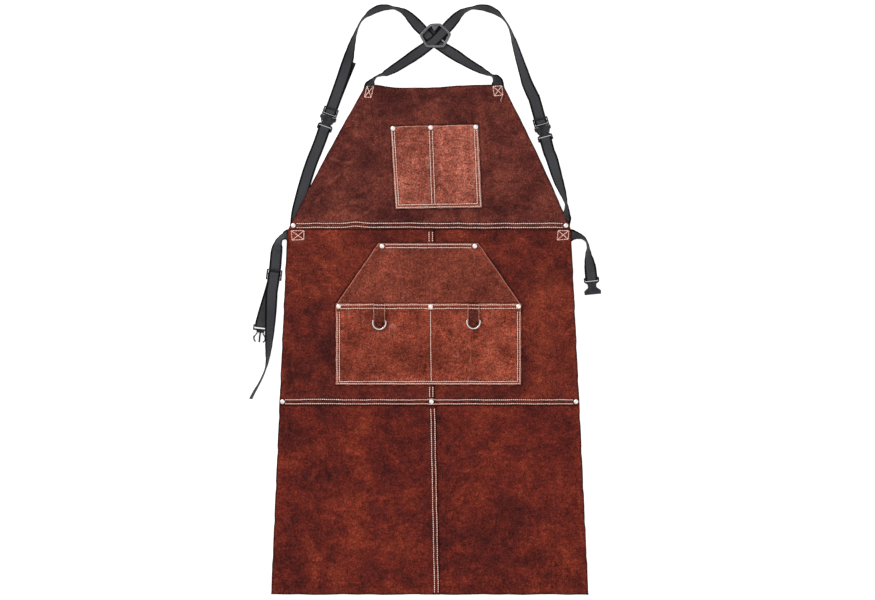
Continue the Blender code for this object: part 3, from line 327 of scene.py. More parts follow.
def leather(name, dark, mid, light, edge, groove, seed=0.0, speck=0.5, nap=1.0, scratch=0.5, pale_rim=True, cloudy=1.0):
    """Oiled split hide: clouded dye, dark pores and specks, scuffs, cut edges; groove is the colour of the painted
    shade at seams.
    """
    k = Mat(name)
    p = k.at(loc=(seed * 1.37, seed * 0.71, seed))
    black = (dark[0] * 0.22, dark[1] * 0.2, dark[2] * 0.2, 1)
    cloud = k.noise(6.5, 3.0, 0.55, 0.8, p)
    blot = k.noise(23.0, 6.0, 0.66, 0.5, p)
    mixd = k.m2("ADD", k.m2("MULTIPLY", cloud, 0.5), k.m2("MULTIPLY", blot, 0.5))
    half = 0.125 / cloudy
    c = k.ramp(mixd, [(0.5 - half, dark), (0.50, mid), (0.5 + half, light)])
    # worn, redder margin just inside the cut edge
    worn = k.m2("MULTIPLY", k.attr("wear"), k.ramp(k.noise(26.0, 5.0, 0.65, 0.4, p), [(0.40, 0.0), (0.62, 0.75)]))
    c = k.mix(worn, c, light)
    # long lighter and darker streaks, drawn out along the hide
    drawn = k.noise(1.0, 6.0, 0.68, 0.6, k.at(rot=(0, 0, 0.35), scale=(44, 96, 40), vec=p))
    c = k.mix(0.7, c, k.ramp(drawn, [(0.32, 0.66), (0.5, 1.0), (0.69, 1.42)]), "MULTIPLY")
    # dark oil patches
    oil = k.ramp(k.noise(9.5, 7.0, 0.66, 1.1, k.at(loc=(3.1, seed, 0), vec=p)), [(0.52, 0.0), (0.68, 0.75 * cloudy)])
    c = k.mix(oil, c, dark)
    # nap: coarse and fine fibres, light and dark
    coarse = k.noise(300.0, 4.0, 0.75, 0.3, p)
    fine = k.noise(520.0, 4.0, 0.75, 0.3, p)
    c = k.mix(0.92, c, k.ramp(coarse, [(0.5 - 0.15 / nap, 0.30), (0.5, 0.98), (0.5 + 0.16 / nap, 2.0)]), "MULTIPLY")
    mott = k.noise(120.0, 4.0, 0.7, 0.6, k.at(loc=(0, 9, seed), vec=p))
    c = k.mix(0.55, c, k.ramp(mott, [(0.36, 0.62), (0.5, 1.0), (0.66, 1.45)]), "MULTIPLY")
    c = k.mix(0.8, c, k.ramp(fine, [(0.33, 0.45), (0.5, 1.0), (0.69, 1.75)]), "MULTIPLY")
    # pores and specks
    dots = k.ramp(k.voro(120.0, k.at(scale=(1, 1.25, 1), vec=p)), [(0.0, 1.0), (0.10, 0.9), (0.24, 0.0)])
    gate = k.ramp(k.noise(40.0, 3.0, 0.6, 0.0, p), [(0.48, 0.0), (0.60, 1.0)])
    c = k.mix(k.m2("MULTIPLY", k.m2("MULTIPLY", dots, gate), speck), c, black)
    pale = k.ramp(k.voro(95.0, k.at(loc=(1.7, 0.3, 0), vec=p)), [(0.0, 1.0), (0.06, 0.9), (0.16, 0.0)])
    gate2 = k.ramp(k.noise(33.0, 3.0, 0.6, 0.0, k.at(loc=(5, 0, 0), vec=p)), [(0.50, 0.0), (0.62, 1.0)])
    glow = edge if pale_rim else (light[0] * 1.7, light[1] * 1.9, light[2] * 1.9, 1)
    c = k.mix(k.m2("MULTIPLY", k.m2("MULTIPLY", pale, gate2), 0.5 * speck + 0.15), c, glow)
    # scuffs: long thin lines, a few at a time
    for q, (rz, sc, where) in enumerate(((0.5, (26, 5.5, 9), 0.0), (-0.8, (19, 4.2, 9), 2.0), (1.45, (30, 6.0, 9), 4.0), (0.9, (40, 8.0, 9), 6.0))):
        n = k.noise(1.0, 3.0, 0.5, 0.4, k.at(loc=(where, 0, 0), rot=(0, 0, rz), scale=sc, vec=p))
        thin = k.ramp(k.m2("ABSOLUTE", k.m2("SUBTRACT", n, 0.5)), [(0.0, 1.0), (0.012, 0.0)])
        here = k.ramp(k.noise(12.0, 2.0, 0.5, 0.0, k.at(loc=(where, 7, 0), vec=p)), [(0.55, 0.0), (0.64, 1.0)])
        tone = black if q != 1 else glow
        c = k.mix(k.m2("MULTIPLY", k.m2("MULTIPLY", thin, here), scratch * (0.85 if q != 1 else 0.4)), c, tone)
    # painted shade in the groove colour along seams, pocket outlines, lap edges and under the rings; cut edges show the
    # fibre
    seam_shade = k.m2("MULTIPLY", k.attr("seam"), k.ramp(k.noise(200.0, 4.0, 0.7, 0.0, p), [(0.3, 0.55), (0.62, 1.0)]))
    c = k.mix(seam_shade, c, groove)
    # dark marks: scratches, and on the bib painted shade below a wrinkle
    c = k.mix(k.m2("MULTIPLY", k.attr("mark"), k.ramp(k.noise(150.0, 3.0, 0.6, 0.0, p), [(0.38, 0.0), (0.56, 0.85)])), c, black)
    # pale lines: scuffs, and on the bib a painted highlight on a wrinkle's ridge
    c = k.mix(k.m2("MULTIPLY", k.attr("pale"), k.ramp(k.noise(90.0, 4.0, 0.65, 0.3, p), [(0.42, 0.0), (0.66, 0.75)])), c, (light[0] * 1.5, light[1] * 1.6, light[2] * 1.6, 1))
    # cut edge: pale fibre on pockets and tabs; on the body hides a painted dark edge shade
    rim = k.m2("MULTIPLY", k.attr("edge"), k.ramp(k.noise(190.0, 4.0, 0.7, 0.0, p), [(0.32, 0.35), (0.60, 1.0)]))
    c = k.mix(rim, c, edge if pale_rim else (dark[0] * 0.12, dark[1] * 0.12, dark[2] * 0.12, 1))
    height = k.m2("ADD", k.m2("MULTIPLY", fine, 0.6), k.m2("MULTIPLY", dots, -0.35))
    n1 = k.bump(k.noise(40.0, 5.0, 0.62, 0.5, p), 0.0030, 0.85)
    n1 = k.bump(coarse, 0.0009, 0.9, n1)
    n2 = k.bump(k.voro(330.0, p), 0.00030, 0.8, n1)
    n3 = k.bump(height, 0.0004, 0.9, n2)
    rough = k.ramp(k.m2("ADD", k.m2("MULTIPLY", blot, 0.5), k.m2("MULTIPLY", coarse, 0.5)), [(0.35, 0.62), (0.65, 0.90)])
    return k.done(c, rough, n3, Specular_IOR_Level=0.07, Sheen_Weight=0.0)


EDGE_PINK = srgb(222, 160, 146)
HIDE = leather("hide_body", srgb(66, 25, 23), srgb(103, 40, 31), srgb(130, 55, 38),
               srgb(170, 84, 62), srgb(24, 8, 8), 0.0, 0.5, 0.78, 0.5, False, 0.95)
HIDE_LOW = leather("hide_skirt", srgb(66, 25, 24), srgb(103, 37, 29), srgb(130, 52, 35),
                   srgb(170, 84, 62), srgb(24, 8, 8), 3.3, 0.5, 0.80, 0.5, False, 0.9)
HIDE_BIB = leather("hide_bib", srgb(66, 28, 26), srgb(97, 45, 38), srgb(120, 60, 48),
                   srgb(165, 86, 68), srgb(24, 8, 8), 7.7, 0.5, 0.72, 0.5, False, 1.15)
POCKET = leather("pocket_chest", srgb(122, 60, 48), srgb(152, 81, 66), srgb(176, 100, 82),
                 EDGE_PINK, srgb(38, 12, 11), 11.0, 0.95, 0.92, 0.9, True, 1.5)
POCKET_HAND = leather("pocket_hand", srgb(112, 48, 35), srgb(140, 63, 46), srgb(160, 78, 58),
                      srgb(214, 146, 126), srgb(36, 11, 10), 17.0, 0.9, 0.95, 0.9, True, 1.25)
POCKET_TOP = leather("pocket_hand_top", srgb(92, 40, 32), srgb(117, 54, 41), srgb(136, 66, 51),
                     srgb(206, 134, 112), srgb(34, 10, 10), 23.0, 0.85, 0.85, 0.7, True, 1.1)
TAB = leather("ring_tab", srgb(74, 32, 26), srgb(98, 45, 35), srgb(118, 57, 45),
              srgb(214, 150, 132), srgb(36, 12, 10), 29.0, 0.6, 1.1, 0.4, True, 0.8)


def thread_mat(name, a, b):
    k = Mat(name)
    fibre = k.noise(2600.0, 3.0, 0.6, 0.0)
    dirt = k.noise(60.0, 4.0, 0.6, 0.0)
    c = k.mix(k.ramp(dirt, [(0.36, 0.0), (0.66, 1.0)]), a, b)
    c = k.mix(0.7, c, k.ramp(fibre, [(0.3, 0.86), (0.7, 1.12)]), "MULTIPLY")
    return k.done(c, 0.8, k.bump(fibre, 0.0002, 0.6), Specular_IOR_Level=0.15)


THREAD = thread_mat("thread", srgb(255, 192, 174), srgb(255, 228, 216))


def webbing_mat(name, body, deep, rim):
    """Chevron-woven strap whose two edges are darkened with painted shade; u runs across in mm, v along in mm."""
    k = Mat(name)
    u, v = k.attr("u"), k.attr("v")
    col = k.m2("MULTIPLY", u, 1 / 2.6)
    inside = k.m2("SUBTRACT", col, k.m2("FLOOR", col))
    odd = k.m2("SUBTRACT", 1.0, k.m2("MULTIPLY", k.m2("MODULO", k.m2("ABSOLUTE", k.m2("FLOOR", col)), 2.0), 2.0))
    phase = k.m2("ADD", k.m2("MULTIPLY", v, 1 / 1.55), k.m2("MULTIPLY", k.m2("MULTIPLY", inside, odd), 0.9))
    yarn = k.m2("ADD", k.m2("MULTIPLY", k.m2("SINE", k.m2("MULTIPLY", phase, 2 * math.pi)), 0.5), 0.5)
    lane = k.m2("SINE", k.m2("MULTIPLY", inside, math.pi))
    h = k.m2("MULTIPLY", k.m2("ADD", k.m2("MULTIPLY", yarn, 0.65), 0.35), k.m2("ADD", k.m2("MULTIPLY", lane, 0.6), 0.4))
    fuzz = k.noise(900.0, 3.0, 0.6, 0.0)
    c = k.mix(k.ramp(h, [(0.12, 0.0), (0.75, 1.0)]), deep, body)
    c = k.mix(0.5, c, k.ramp(fuzz, [(0.32, 0.6), (0.68, 1.45)]), "MULTIPLY")
    c = k.mix(k.ramp(k.noise(14.0, 4.0, 0.6, 0.0), [(0.4, 0.0), (0.7, 0.35)]), c, body)
    # painted edge shade: both edges darken towards the rim colour
    side = k.ramp(k.m2("DIVIDE", k.m2("ABSOLUTE", u), 12.7), [(0.62, 0.0), (0.76, 0.97)])
    c = k.mix(side, c, rim)
    n = k.bump(h, 0.00035, 0.9)
    n = k.bump(fuzz, 0.0002, 0.6, n)
    return k.done(c, 0.7, n, Specular_IOR_Level=0.07)


WEB_MAT = webbing_mat("webbing", srgb(76, 76, 80), srgb(30, 30, 33), srgb(8, 8, 9))


def plastic_mat(name, base, seed, bands=()):
    """Moulded acetal; bands are (y0, y1, half width, least z) in mm, where the bars' top faces get a painted highlight.
    """
    k = Mat(name)
    p = k.at(loc=(seed, 0, 0))
    grain = k.noise(1700.0, 3.0, 0.6, 0.0, p)
    wear = k.noise(90.0, 5.0, 0.65, 0.4, p)
    c = k.mix(k.ramp(wear, [(0.45, 0.0), (0.72, 0.5)]), base, srgb(74, 74, 78))
    shine = k.attr("shine")
    if bands:
        sep = k.t.nodes.new("ShaderNodeSeparateXYZ")
        k.put(sep.inputs[0], k.obj)
        ax = k.m2("ABSOLUTE", sep.outputs[0])
        for y0, y1, half, z0 in bands:
            m = k.m2("MINIMUM", k.m2("SUBTRACT", sep.outputs[1], y0 * MM), k.m2("SUBTRACT", y1 * MM, sep.outputs[1]))
            m = k.m2("MINIMUM", m, k.m2("SUBTRACT", half * MM, ax))
            m = k.m2("MINIMUM", m, k.m2("SUBTRACT", sep.outputs[2], z0 * MM))
            shine = k.m2("MAXIMUM", shine, k.ramp(k.m2("MULTIPLY", m, 2500.0), [(0.0, 0.0), (0.5, 1.0)]))
    # painted highlight: the bars' top faces and the slider's ridges are lightened towards a pale grey
    painted_shine = k.m2("MULTIPLY", shine, k.ramp(k.noise(420.0, 4.0, 0.6, 0.2, p), [(0.30, 0.72), (0.62, 1.0)]))
    c = k.mix(painted_shine, c, srgb(206, 205, 210))
    c = k.mix(0.4, c, k.ramp(grain, [(0.3, 0.7), (0.7, 1.3)]), "MULTIPLY")
    rough = k.ramp(wear, [(0.35, 0.34), (0.7, 0.5)])
    return k.done(c, rough, k.bump(grain, 0.00012, 0.5, k.bump(wear, 0.0004, 0.25)), Specular_IOR_Level=0.22)


PLASTIC = plastic_mat("plastic_buckle", srgb(26, 26, 29), 0.0)
# the bands give the painted highlights on the ladder bars and the socket mouth
PLASTIC_INSERT = plastic_mat("plastic_insert", srgb(22, 22, 25), 0.3, [(15.0, 19.2, 15.2, 5.2), (0.9, 4.0, 15.2, 5.9)])
PLASTIC_INSERT_W = plastic_mat("plastic_insert_waist", srgb(22, 22, 25), 0.5, [(0.9, 3.6, 14.5, 5.9)])
PLASTIC_SOCKET = plastic_mat("plastic_socket", srgb(30, 30, 33), 0.7, [(5.7, 8.3, 14.0, 3.8)])
PLASTIC_SOCKET_W = plastic_mat("plastic_socket_waist", srgb(40, 40, 47), 0.9)


def metal_mat(name, tint, rough_lo, rough_hi, seed, metal=1.0):
    k = Mat(name)
    p = k.at(loc=(seed, 0, 0))
    tarn = k.noise(260.0, 5.0, 0.6, 0.3, p)
    hair = k.noise(1.0, 4.0, 0.6, 0.0, k.at(rot=(0, 0, 0.7), scale=(4200, 500, 900), vec=p))
    c = k.mix(k.ramp(tarn, [(0.52, 0.0), (0.76, 0.5)]), tint, srgb(176, 170, 166))
    rough = k.ramp(k.m2("ADD", k.m2("MULTIPLY", tarn, 0.6), k.m2("MULTIPLY", hair, 0.4)), [(0.35, rough_lo), (0.68, rough_hi)])
    return k.done(c, rough, k.bump(hair, 0.00006, 0.5, k.bump(tarn, 0.00025, 0.4)), Metallic=metal)


NICKEL = metal_mat("nickel_ring", srgb(244, 242, 240), 0.22, 0.40, 1.0, 0.6)
RIVET = metal_mat("rivet_cap", srgb(255, 252, 248), 0.30, 0.50, 5.0, 0.45)

floor_k = Mat("floor_paper")
floor_c = floor_k.mix(0.35, srgb(186, 186, 186), floor_k.ramp(floor_k.noise(3.0, 2.0), [(0.3, 0.97), (0.7, 1.0)]), "MULTIPLY")
FLOOR = floor_k.done(floor_c, 0.9, None, Specular_IOR_Level=0.1, Emission_Color=(1, 1, 1, 1), Emission_Strength=0.86)
me = bpy.data.meshes.new("floor")
me.from_pydata([(-9, -9, -0.0004), (9, -9, -0.0004), (9, 9, -0.0004), (-9, 9, -0.0004)], [], [(0, 1, 2, 3)])
me.materials.append(FLOOR)
floor = bpy.data.objects.new("floor", me)
scene.collection.objects.link(floor)

# ------------------------------------------------------------------ outline and heights (mm)
LEATHER, GAP, PLY, RAMP = 1.5, 0.3, 1.8, 8.0
BIB_TOP, BIB_BOTTOM, SKIRT_TOP = 449.7, 147.5, 164.0
SEAM_LOW, SEAM_HID, HEM = -220.7, -204.0, -617.1
CENTRE_EDGE, CENTRE_LAP = 17.8, 14.0
C1 = CENTRE_EDGE - CENTRE_LAP
C0, C2, C3 = C1 - RAMP, CENTRE_EDGE, CENTRE_EDGE + RAMP
RISE = 6.0


def bib_left(y):
    t = (BIB_TOP - y) / (BIB_TOP - BIB_BOTTOM)
    return -124.5 - 162.5 * t - 3.2 * np.sin(np.pi * np.clip(t, 0, 1))


def bib_right(y):
    t = (BIB_TOP - y) / (BIB_TOP - BIB_BOTTOM)
    return 162.1 + 142.0 * t + 4.0 * np.sin(np.pi * np.clip(t, 0, 1))


def skirt_left(y):
    return np.where(y > BIB_BOTTOM, bib_left(y) + 2.0 * st(y, BIB_BOTTOM, BIB_BOTTOM + 4),
                    -289.0 - 0.0446 * (BIB_BOTTOM - y))


def skirt_right(y):
    return np.where(y > BIB_BOTTOM, bib_right(y) - 2.0 * st(y, BIB_BOTTOM, BIB_BOTTOM + 4),
                    304.1 + 0.0482 * (BIB_BOTTOM - y))


def low_centre(y):
    return 22.2 + 0.0205 * (SEAM_LOW - np.minimum(y, SEAM_LOW))


def rest(y):
    return 1.5 * st(y, -320, -260)


def wave(x, y):
    """How far the hide stands up off the surface in soft ripples; every layer shares it."""
    b = 0.62 * lump(x, y, 11, 250) + 0.34 * lump(x, y, 12, 120) + 0.25
    body = 0.5 * (b + np.sqrt(b * b + 0.06))
    left = np.where(y > 150, x - bib_left(y), x - skirt_left(y))
    right = np.where(y > 150, bib_right(y) - x, skirt_right(y) - x)
    side = 2.1 * np.exp(-np.maximum(left, 0) / 30) * (0.5 + 0.5 * wob(y, 5, 150)) \
        + 2.1 * np.exp(-np.maximum(right, 0) / 30) * (0.5 + 0.5 * wob(y, 6, 170)) \
        + 2.0 * np.exp(-np.maximum(y - HEM, 0) / 34) * (0.5 + 0.5 * wob(x, 7, 165))
    flat = st(x, -235, -190) * (1 - st(x, 200, 245)) * st(y, -225, -180) * (1 - st(y, 0, 60))
    return (1.15 * body + side) * (1 - flat)


def over_low_right(x, y):
    a = low_centre(y) - CENTRE_LAP
    return st(x, a - RAMP, a)


def over_low_left(x, y):
    a = low_centre(y)
    return 1.0 - st(x, a, a + RAMP)


def over_low_top(y):
    return 1.0 - st(y, SEAM_HID, SEAM_HID + RAMP)


def over_up_right(x):
    return st(x, C1 - RAMP, C1)


def over_up_left(x):
    return 1.0 - st(x, C2, C2 + RAMP)


def z_low_right(x, y):
    return rest(y) + wave(x, y)


def z_low_left(x, y):
    return z_low_right(x, y) + PLY * over_low_right(x, y)


def z_up_right(x, y):
    return rest(y) + PLY * over_low_top(y) * (over_low_right(x, y) + over_low_left(x, y)) + wave(x, y)


def z_up_left(x, y):
    return z_up_right(x, y) + PLY * over_up_right(x)


def z_bib(x, y):
    return rest(y) + PLY * (1 - st(y, SKIRT_TOP, SKIRT_TOP + RAMP)) * (over_up_right(x) + over_up_left(x)) + wave(x, y)


def lap_bump(x):
    return st(x, C1 - RAMP, C1) * (1.0 - st(x, C2, C2 + RAMP))


def top_low(x, y):
    return np.where(x <= low_centre(y), z_low_left(x, y), z_low_right(x, y)) + LEATHER


def top_up(x, y):
    return np.where(x <= CENTRE_EDGE + 1.6, z_up_left(x, y), z_up_right(x, y)) + LEATHER


def top_bib(x, y):
    return z_bib(x, y) + LEATHER


# ------------------------------------------------------------------ seam rows in plan (mm)
def row_x(x0, x1, y, seed, amp=0.5, bump=None, step=4.0):
    x = np.linspace(x0, x1, max(2, int(abs(x1 - x0) / step)))
    yy = np.full(x.shape, float(y)) + amp * wob(x, seed, 95)
    if bump is not None:
        for c, w, h in bump:
            yy = yy + h * np.exp(-((x - c) / w) ** 2)
    return np.stack([x, yy], 1)


def row_y(y0, y1, fx, seed, amp=0.4, step=4.0):
    y = np.linspace(y0, y1, max(2, int(abs(y1 - y0) / step)))
    x = (fx(y) if callable(fx) else np.full(y.shape, float(fx))) + amp * wob(y, seed, 105)
    return np.stack([x, y], 1)


WAIST_BUMP = [(-148, 17, 3.0), (-60, 40, 0.8), (120, 60, -0.6)]
AROUND = [(12.4, 6.5, 0.0)]
ROWS = {
    "waist_seam": [row_x(-270.0, 287.0, 151.6, 1, 0.55, WAIST_BUMP), row_x(-270.0, 287.0, 160.0, 1, 0.6, WAIST_BUMP)],
    "lower_seam": [row_x(-293.5, 308.5, -217.1, 2, 0.4, [(12.4, 5.5, -1.0), (-230, 30, 0.7)]),
                   row_x(-293.5, 308.5, -208.8, 2, 0.5, [(12.4, 5.5, 2.0), (-230, 30, 1.4)])],
    "centre_seam_upper": [row_y(122.0, 143.0, 7.4, 3, 0.1), row_y(122.0, 143.0, 14.6, 3, 0.1),
                          row_y(-203.0, -181.0, 8.6, 4, 0.1), row_y(-203.0, -181.0, 15.4, 4, 0.1)],
    "centre_seam_lower": [row_y(-227.0, -612.0, lambda y: low_centre(y) - 11.2, 5),
                          row_y(-227.0, -612.0, lambda y: low_centre(y) - 3.6, 5, 0.5)],
}
CP = np.array([(-62.0, 191.0), (117.5, 194.0), (109.5, 366.5), (-72.5, 363.0)])
CP_LOW, CP_TOP = np.array((16.5, 192.3)), np.array((10.5, 364.6))


def chest_xy(u, v):
    u, v = np.asarray(u, float)[..., None], np.asarray(v, float)[..., None]
    a = np.where(u <= 0.5, CP[0] + (CP_LOW - CP[0]) * u * 2, CP_LOW + (CP[1] - CP_LOW) * (u * 2 - 1))
    b = np.where(u <= 0.5, CP[3] + (CP_TOP - CP[3]) * u * 2, CP_TOP + (CP[2] - CP_TOP) * (u * 2 - 1))
    return a + (b - a) * v


def chest_row(uv, seed, amp=0.35):
    pts = []
    for (u0, v0), (u1, v1) in zip(uv, uv[1:]):
        n = max(2, int(max(abs(u1 - u0), abs(v1 - v0)) * 40))
        t = np.linspace(0, 1, n, endpoint=False)
        pts.append(chest_xy(u0 + (u1 - u0) * t, v0 + (v1 - v0) * t))
    pts.append(chest_xy([uv[-1][0]], [uv[-1][1]]))
    p = np.concatenate(pts)
    return p + amp * np.stack([wob(p[:, 1], seed, 60), wob(p[:, 0], seed + 1, 60)], 1)


ROWS["chest_pocket_thread"] = [chest_row([(0.012, 0.94), (0.012, 0.012), (0.988, 0.012), (0.988, 0.94)], 21),
                               chest_row([(0.040, 0.94), (0.042, 0.044), (0.958, 0.044), (0.960, 0.94)], 22)]
ROWS["chest_centre_thread"] = [chest_row([(0.482, 0.05), (0.482, 0.94)], 23, 0.25), chest_row([(0.518, 0.05), (0.518, 0.94)], 24, 0.25)]

HP_LEFT, HP_RIGHT, HP_TOP, HP_BOTTOM, HP_LAP, HP_MID = -187.0, 199.5, -8.0, -177.0, 12.0, 10.5
HP_SEAM, HP_RUN = 9.6, 24.0
HT_Y, HT_LEFT, HT_RIGHT = 118.5, -98.0, 110.0


def joined(*rows):
    return np.concatenate(rows)


L_, R_, B_ = HP_LEFT, HP_RIGHT, HP_BOTTOM
ROWS["hand_pocket_thread"] = [
    joined(row_y(-24.0, B_ + 2.2, L_ + 2.2, 31, 0.3), row_x(L_ + 2.2, R_ - 2.2, B_ + 2.2, 32, 0.5), row_y(B_ + 2.2, -24.0, R_ - 2.2, 33, 0.3)),
    joined(row_y(-24.0, B_ + 6.6, L_ + 7.0, 34, 0.3), row_x(L_ + 7.0, R_ - 7.0, B_ + 6.6, 35, 0.5), row_y(B_ + 6.6, -24.0, R_ - 7.0, 36, 0.3))]
ROWS["hand_centre_thread"] = [row_y(-23.0, B_ + 8.0, lambda y: 10.2 + (-24 - y) * 0.012, 37, 0.3)]
ROWS["pocket_join_thread"] = [row_x(L_ + 9, R_ - 8, -17.6, 38, 0.5, [(10.5, 6, -1.6)]), row_x(L_ + 9, R_ - 8, -10.4, 39, 0.4, [(10.5, 6, 1.4)])]
ROWS["pocket_top_thread"] = [row_x(-84.0, 96.0, 109.4, 40, 0.35), row_x(-84.0, 96.0, 115.7, 40, 0.3)]

POCKET_LINES = [chest_row([(0.0, 1.0), (0.0, 0.0), (1.0, 0.0), (1.0, 1.0), (0.0, 1.0)], 50, 0.0),
                np.array([(L_, HP_TOP), (L_, B_), (R_, B_), (R_, HP_TOP), (HT_RIGHT, HT_Y), (HT_LEFT, HT_Y), (L_, HP_TOP)], float)]


# ------------------------------------------------------------------ hides
def slab(name, X, Y, ZB, mat, node, seams=(), shade_lines=(), marks=(), edge_reach=2.2, edge_power=0.85, pales=(), thick=LEATHER,
         groove=0.35, held="laid", rests=(), flat=None, area=None, slot="hide", rough_edge=0.35, seed=1, seam_dark=0.92,
         dark_reach=2.5, node_slot=None):
    """A hide: top and back faces with a rounded, slightly ragged cut edge between."""
    nv, nu = X.shape
    idx = np.arange(nv * nu).reshape(nv, nu)
    rim = np.concatenate([idx[0, :-1], idx[:-1, -1], idx[-1, ::-1][:-1], idx[::-1, 0][:-1]])
    x, y, zb = X.ravel(), Y.ravel(), ZB.ravel()
    rx, ry = x[rim], y[rim]
    tx, ty = np.roll(rx, -1) - np.roll(rx, 1), np.roll(ry, -1) - np.roll(ry, 1)
    ln = np.maximum(np.hypot(tx, ty), 1e-6)
    ox, oy = ty / ln, -tx / ln
    closed = np.stack([np.append(rx, rx[0]), np.append(ry, ry[0])], 1)
    e = seg_dist(x, y, [closed], 26.0)
    d = seg_dist(x, y, seams) if len(seams) else np.full(x.shape, 1e3)
    cr = seg_dist(x, y, shade_lines) if len(shade_lines) else np.full(x.shape, 1e3)
    zt = zb + thick
    zt = zt - groove * np.exp(-(d / 1.5) ** 2) + 0.14 * np.exp(-((d - 4.2) / 2.0) ** 2)
    zt = zt - 0.30 * np.exp(-(e / 0.5) ** 2)
    zt = zt + 0.05 * lump(x, y, seed + 40, 16)
    zbb = zb + 0.22 * np.exp(-(e / 0.5) ** 2)
    s = np.cumsum(np.hypot(np.diff(np.append(rx, rx[0])), np.diff(np.append(ry, ry[0]))))
    out = 0.16 + rough_edge * 0.5 * (1 + wob(s, seed, 23)) * 0.6 + rough_edge * 0.35 * wob(s, seed + 1, 7.3)
    mid = np.stack([rx + ox * out, ry + oy * out, zb[rim] + thick * (0.5 + 0.08 * wob(s, seed + 2, 9))], 1)
    n = nv * nu
    V = np.concatenate([np.stack([x, y, zbb], 1), np.stack([x, y, zt], 1), mid])
    a, b, c, f = idx[:-1, :-1].ravel(), idx[:-1, 1:].ravel(), idx[1:, 1:].ravel(), idx[1:, :-1].ravel()
    top = np.stack([a + n, b + n, c + n, f + n], 1)
    bot = np.stack([a, f, c, b], 1)
    m = len(rim)
    k = np.arange(m)
    j = (k + 1) % m
    up = np.stack([rim[k] + n, 2 * n + k, 2 * n + j, rim[j] + n], 1)
    dn = np.stack([2 * n + k, rim[k], rim[j], 2 * n + j], 1)
    F = np.concatenate([top, bot, up, dn])
    # painted shade along the stitch rows
    seam_shade_v = seam_dark * np.exp(-(d / dark_reach) ** 2)
    # painted shadow along the listed shade lines: round the pockets, along lap edges and under the D-rings
    if len(shade_lines):
        seam_shade_v = np.maximum(seam_shade_v, 0.95 * np.exp(-(np.maximum(cr - 0.6, 0) / 2.4) ** 2))
    edge_v = edge_power * np.exp(-(e / edge_reach) ** 2)
    wear_v = np.exp(-(e / 10.0) ** 2)
    mk = seg_dist(x, y, marks, 4.0) if len(marks) else np.full(x.shape, 1e3)
    mark_v = np.exp(-(mk / 1.0) ** 2)
    pl = seg_dist(x, y, pales, 9.0) if len(pales) else np.full(x.shape, 1e3)
    pale_v = np.exp(-(pl / 3.2) ** 2)
    attrs = {"pale": np.concatenate([0 * x, pale_v, np.zeros(m)]), "mark": np.concatenate([0 * x, mark_v, np.zeros(m)]), "wear": np.concatenate([wear_v, wear_v, np.ones(m)]), "seam": np.concatenate([0 * x, seam_shade_v, np.zeros(m)]),
             "edge": np.concatenate([np.exp(-(e / 2.0) ** 2) * 0.6, edge_v, np.full(m, 0.9)])}
    ob = make(name, V, F, mat, "root", node, True, attrs)
    return ob


def poly_area(p):
    p = np.asarray(p, float)
    q = np.roll(p, -1, 0)
    return abs(float((p[:, 0] * q[:, 1] - q[:, 0] * p[:, 1]).sum())) / 2 * 1e-6


def panel(ys, left, right, tcols):
    """Grid between two side edges, columns given as shares."""
    Y = np.repeat(np.asarray(ys)[:, None], len(tcols), 1)
    l, r = left(Y[:, :1]), right(Y[:, :1])
    X = l + (r - l) * np.asarray(tcols)[None, :]
    return X, Y


def grid_area(X, Y):
    a = (X[1:, 1:] - X[:-1, :-1]) * (Y[1:, :-1] - Y[:-1, 1:]) - (X[1:, :-1] - X[:-1, 1:]) * (Y[1:, 1:] - Y[:-1, :-1])
    return float(np.abs(a).sum() / 2) * 1e-6


def edge_noise(fn, seed, amp=0.7):
    return lambda y: fn(y) + amp * wob(y, seed, 70) * st(np.asarray(y, float) * 0 + 1, 0, 1)


def shares(w, step, fine=()):
    return lines(0.0, w, step, fine) / w


def hide_piece(name, ys, left, right, cols, zf, mat, node, seams, shade_lines, flat, rests, seed, drop=None, **kw):
    X, Y = panel(ys, left, right, cols)
    if drop is not None:
        Y = Y + drop(X, Y)
    return slab(name, X, Y, zf(X, Y), mat, node, seams, shade_lines, edge_reach=2.7, edge_power=0.95, held="laid", rests=rests, flat=flat,
                area=min(grid_area(X, Y), flat[0] * flat[1]), seed=seed, **kw)


def hem_drop(x, y):
    """The hem wanders a little."""
    return (0.9 * wob(x, 61, 140) + 0.9) * np.exp(-(y - HEM) / 25.0)


def bib_drop(x, y):
    """The collar edge dips between its corners."""
    xs = [-125, -107, -88, -71, -53, -10, 30, 65, 100, 142, 163]
    ys = [0.3, 0.5, -1.8, -4.6, -5.8, -5.6, -4.6, -1.4, 0.2, 0.6, 0.4]
    dip = sum(np.interp(x + k, xs, ys) for k in (-9, -4, 0, 4, 9)) / 5 + 0.3 * wob(x, 62, 80)
    return dip * st(y, BIB_TOP - 70, BIB_TOP)


low_ys = lines(HEM, SEAM_HID, 3.6, [(-232, SEAM_HID, 2.4)])
hide_piece("skirt_lower_right_hide", low_ys, lambda y: low_centre(y) - CENTRE_LAP, edge_noise(skirt_right, 71),
           shares(314.0, 3.6, [(0, 24, 2.2)]), z_low_right, HIDE_LOW, "skirt_lower_right", (), (),
           (0.337, 0.414), ("skirt_upper_right_hide",), 101, hem_drop)
hide_piece("skirt_lower_left_hide", low_ys, edge_noise(skirt_left, 72), low_centre,
           shares(330.0, 3.6, [(314, 330, 1.1)]), z_low_left, HIDE_LOW, "skirt_lower_left",
           ROWS["centre_seam_lower"], (), (0.355, 0.414), ("skirt_lower_right_hide",), 102, hem_drop)
up_ys = lines(SEAM_LOW, SKIRT_TOP, 3.2, [(SEAM_LOW, -202, 1.1), (-182, -172, 1.4), (-12, -4, 1.6), (112, 122, 1.4), (122, 147, 1.6)])
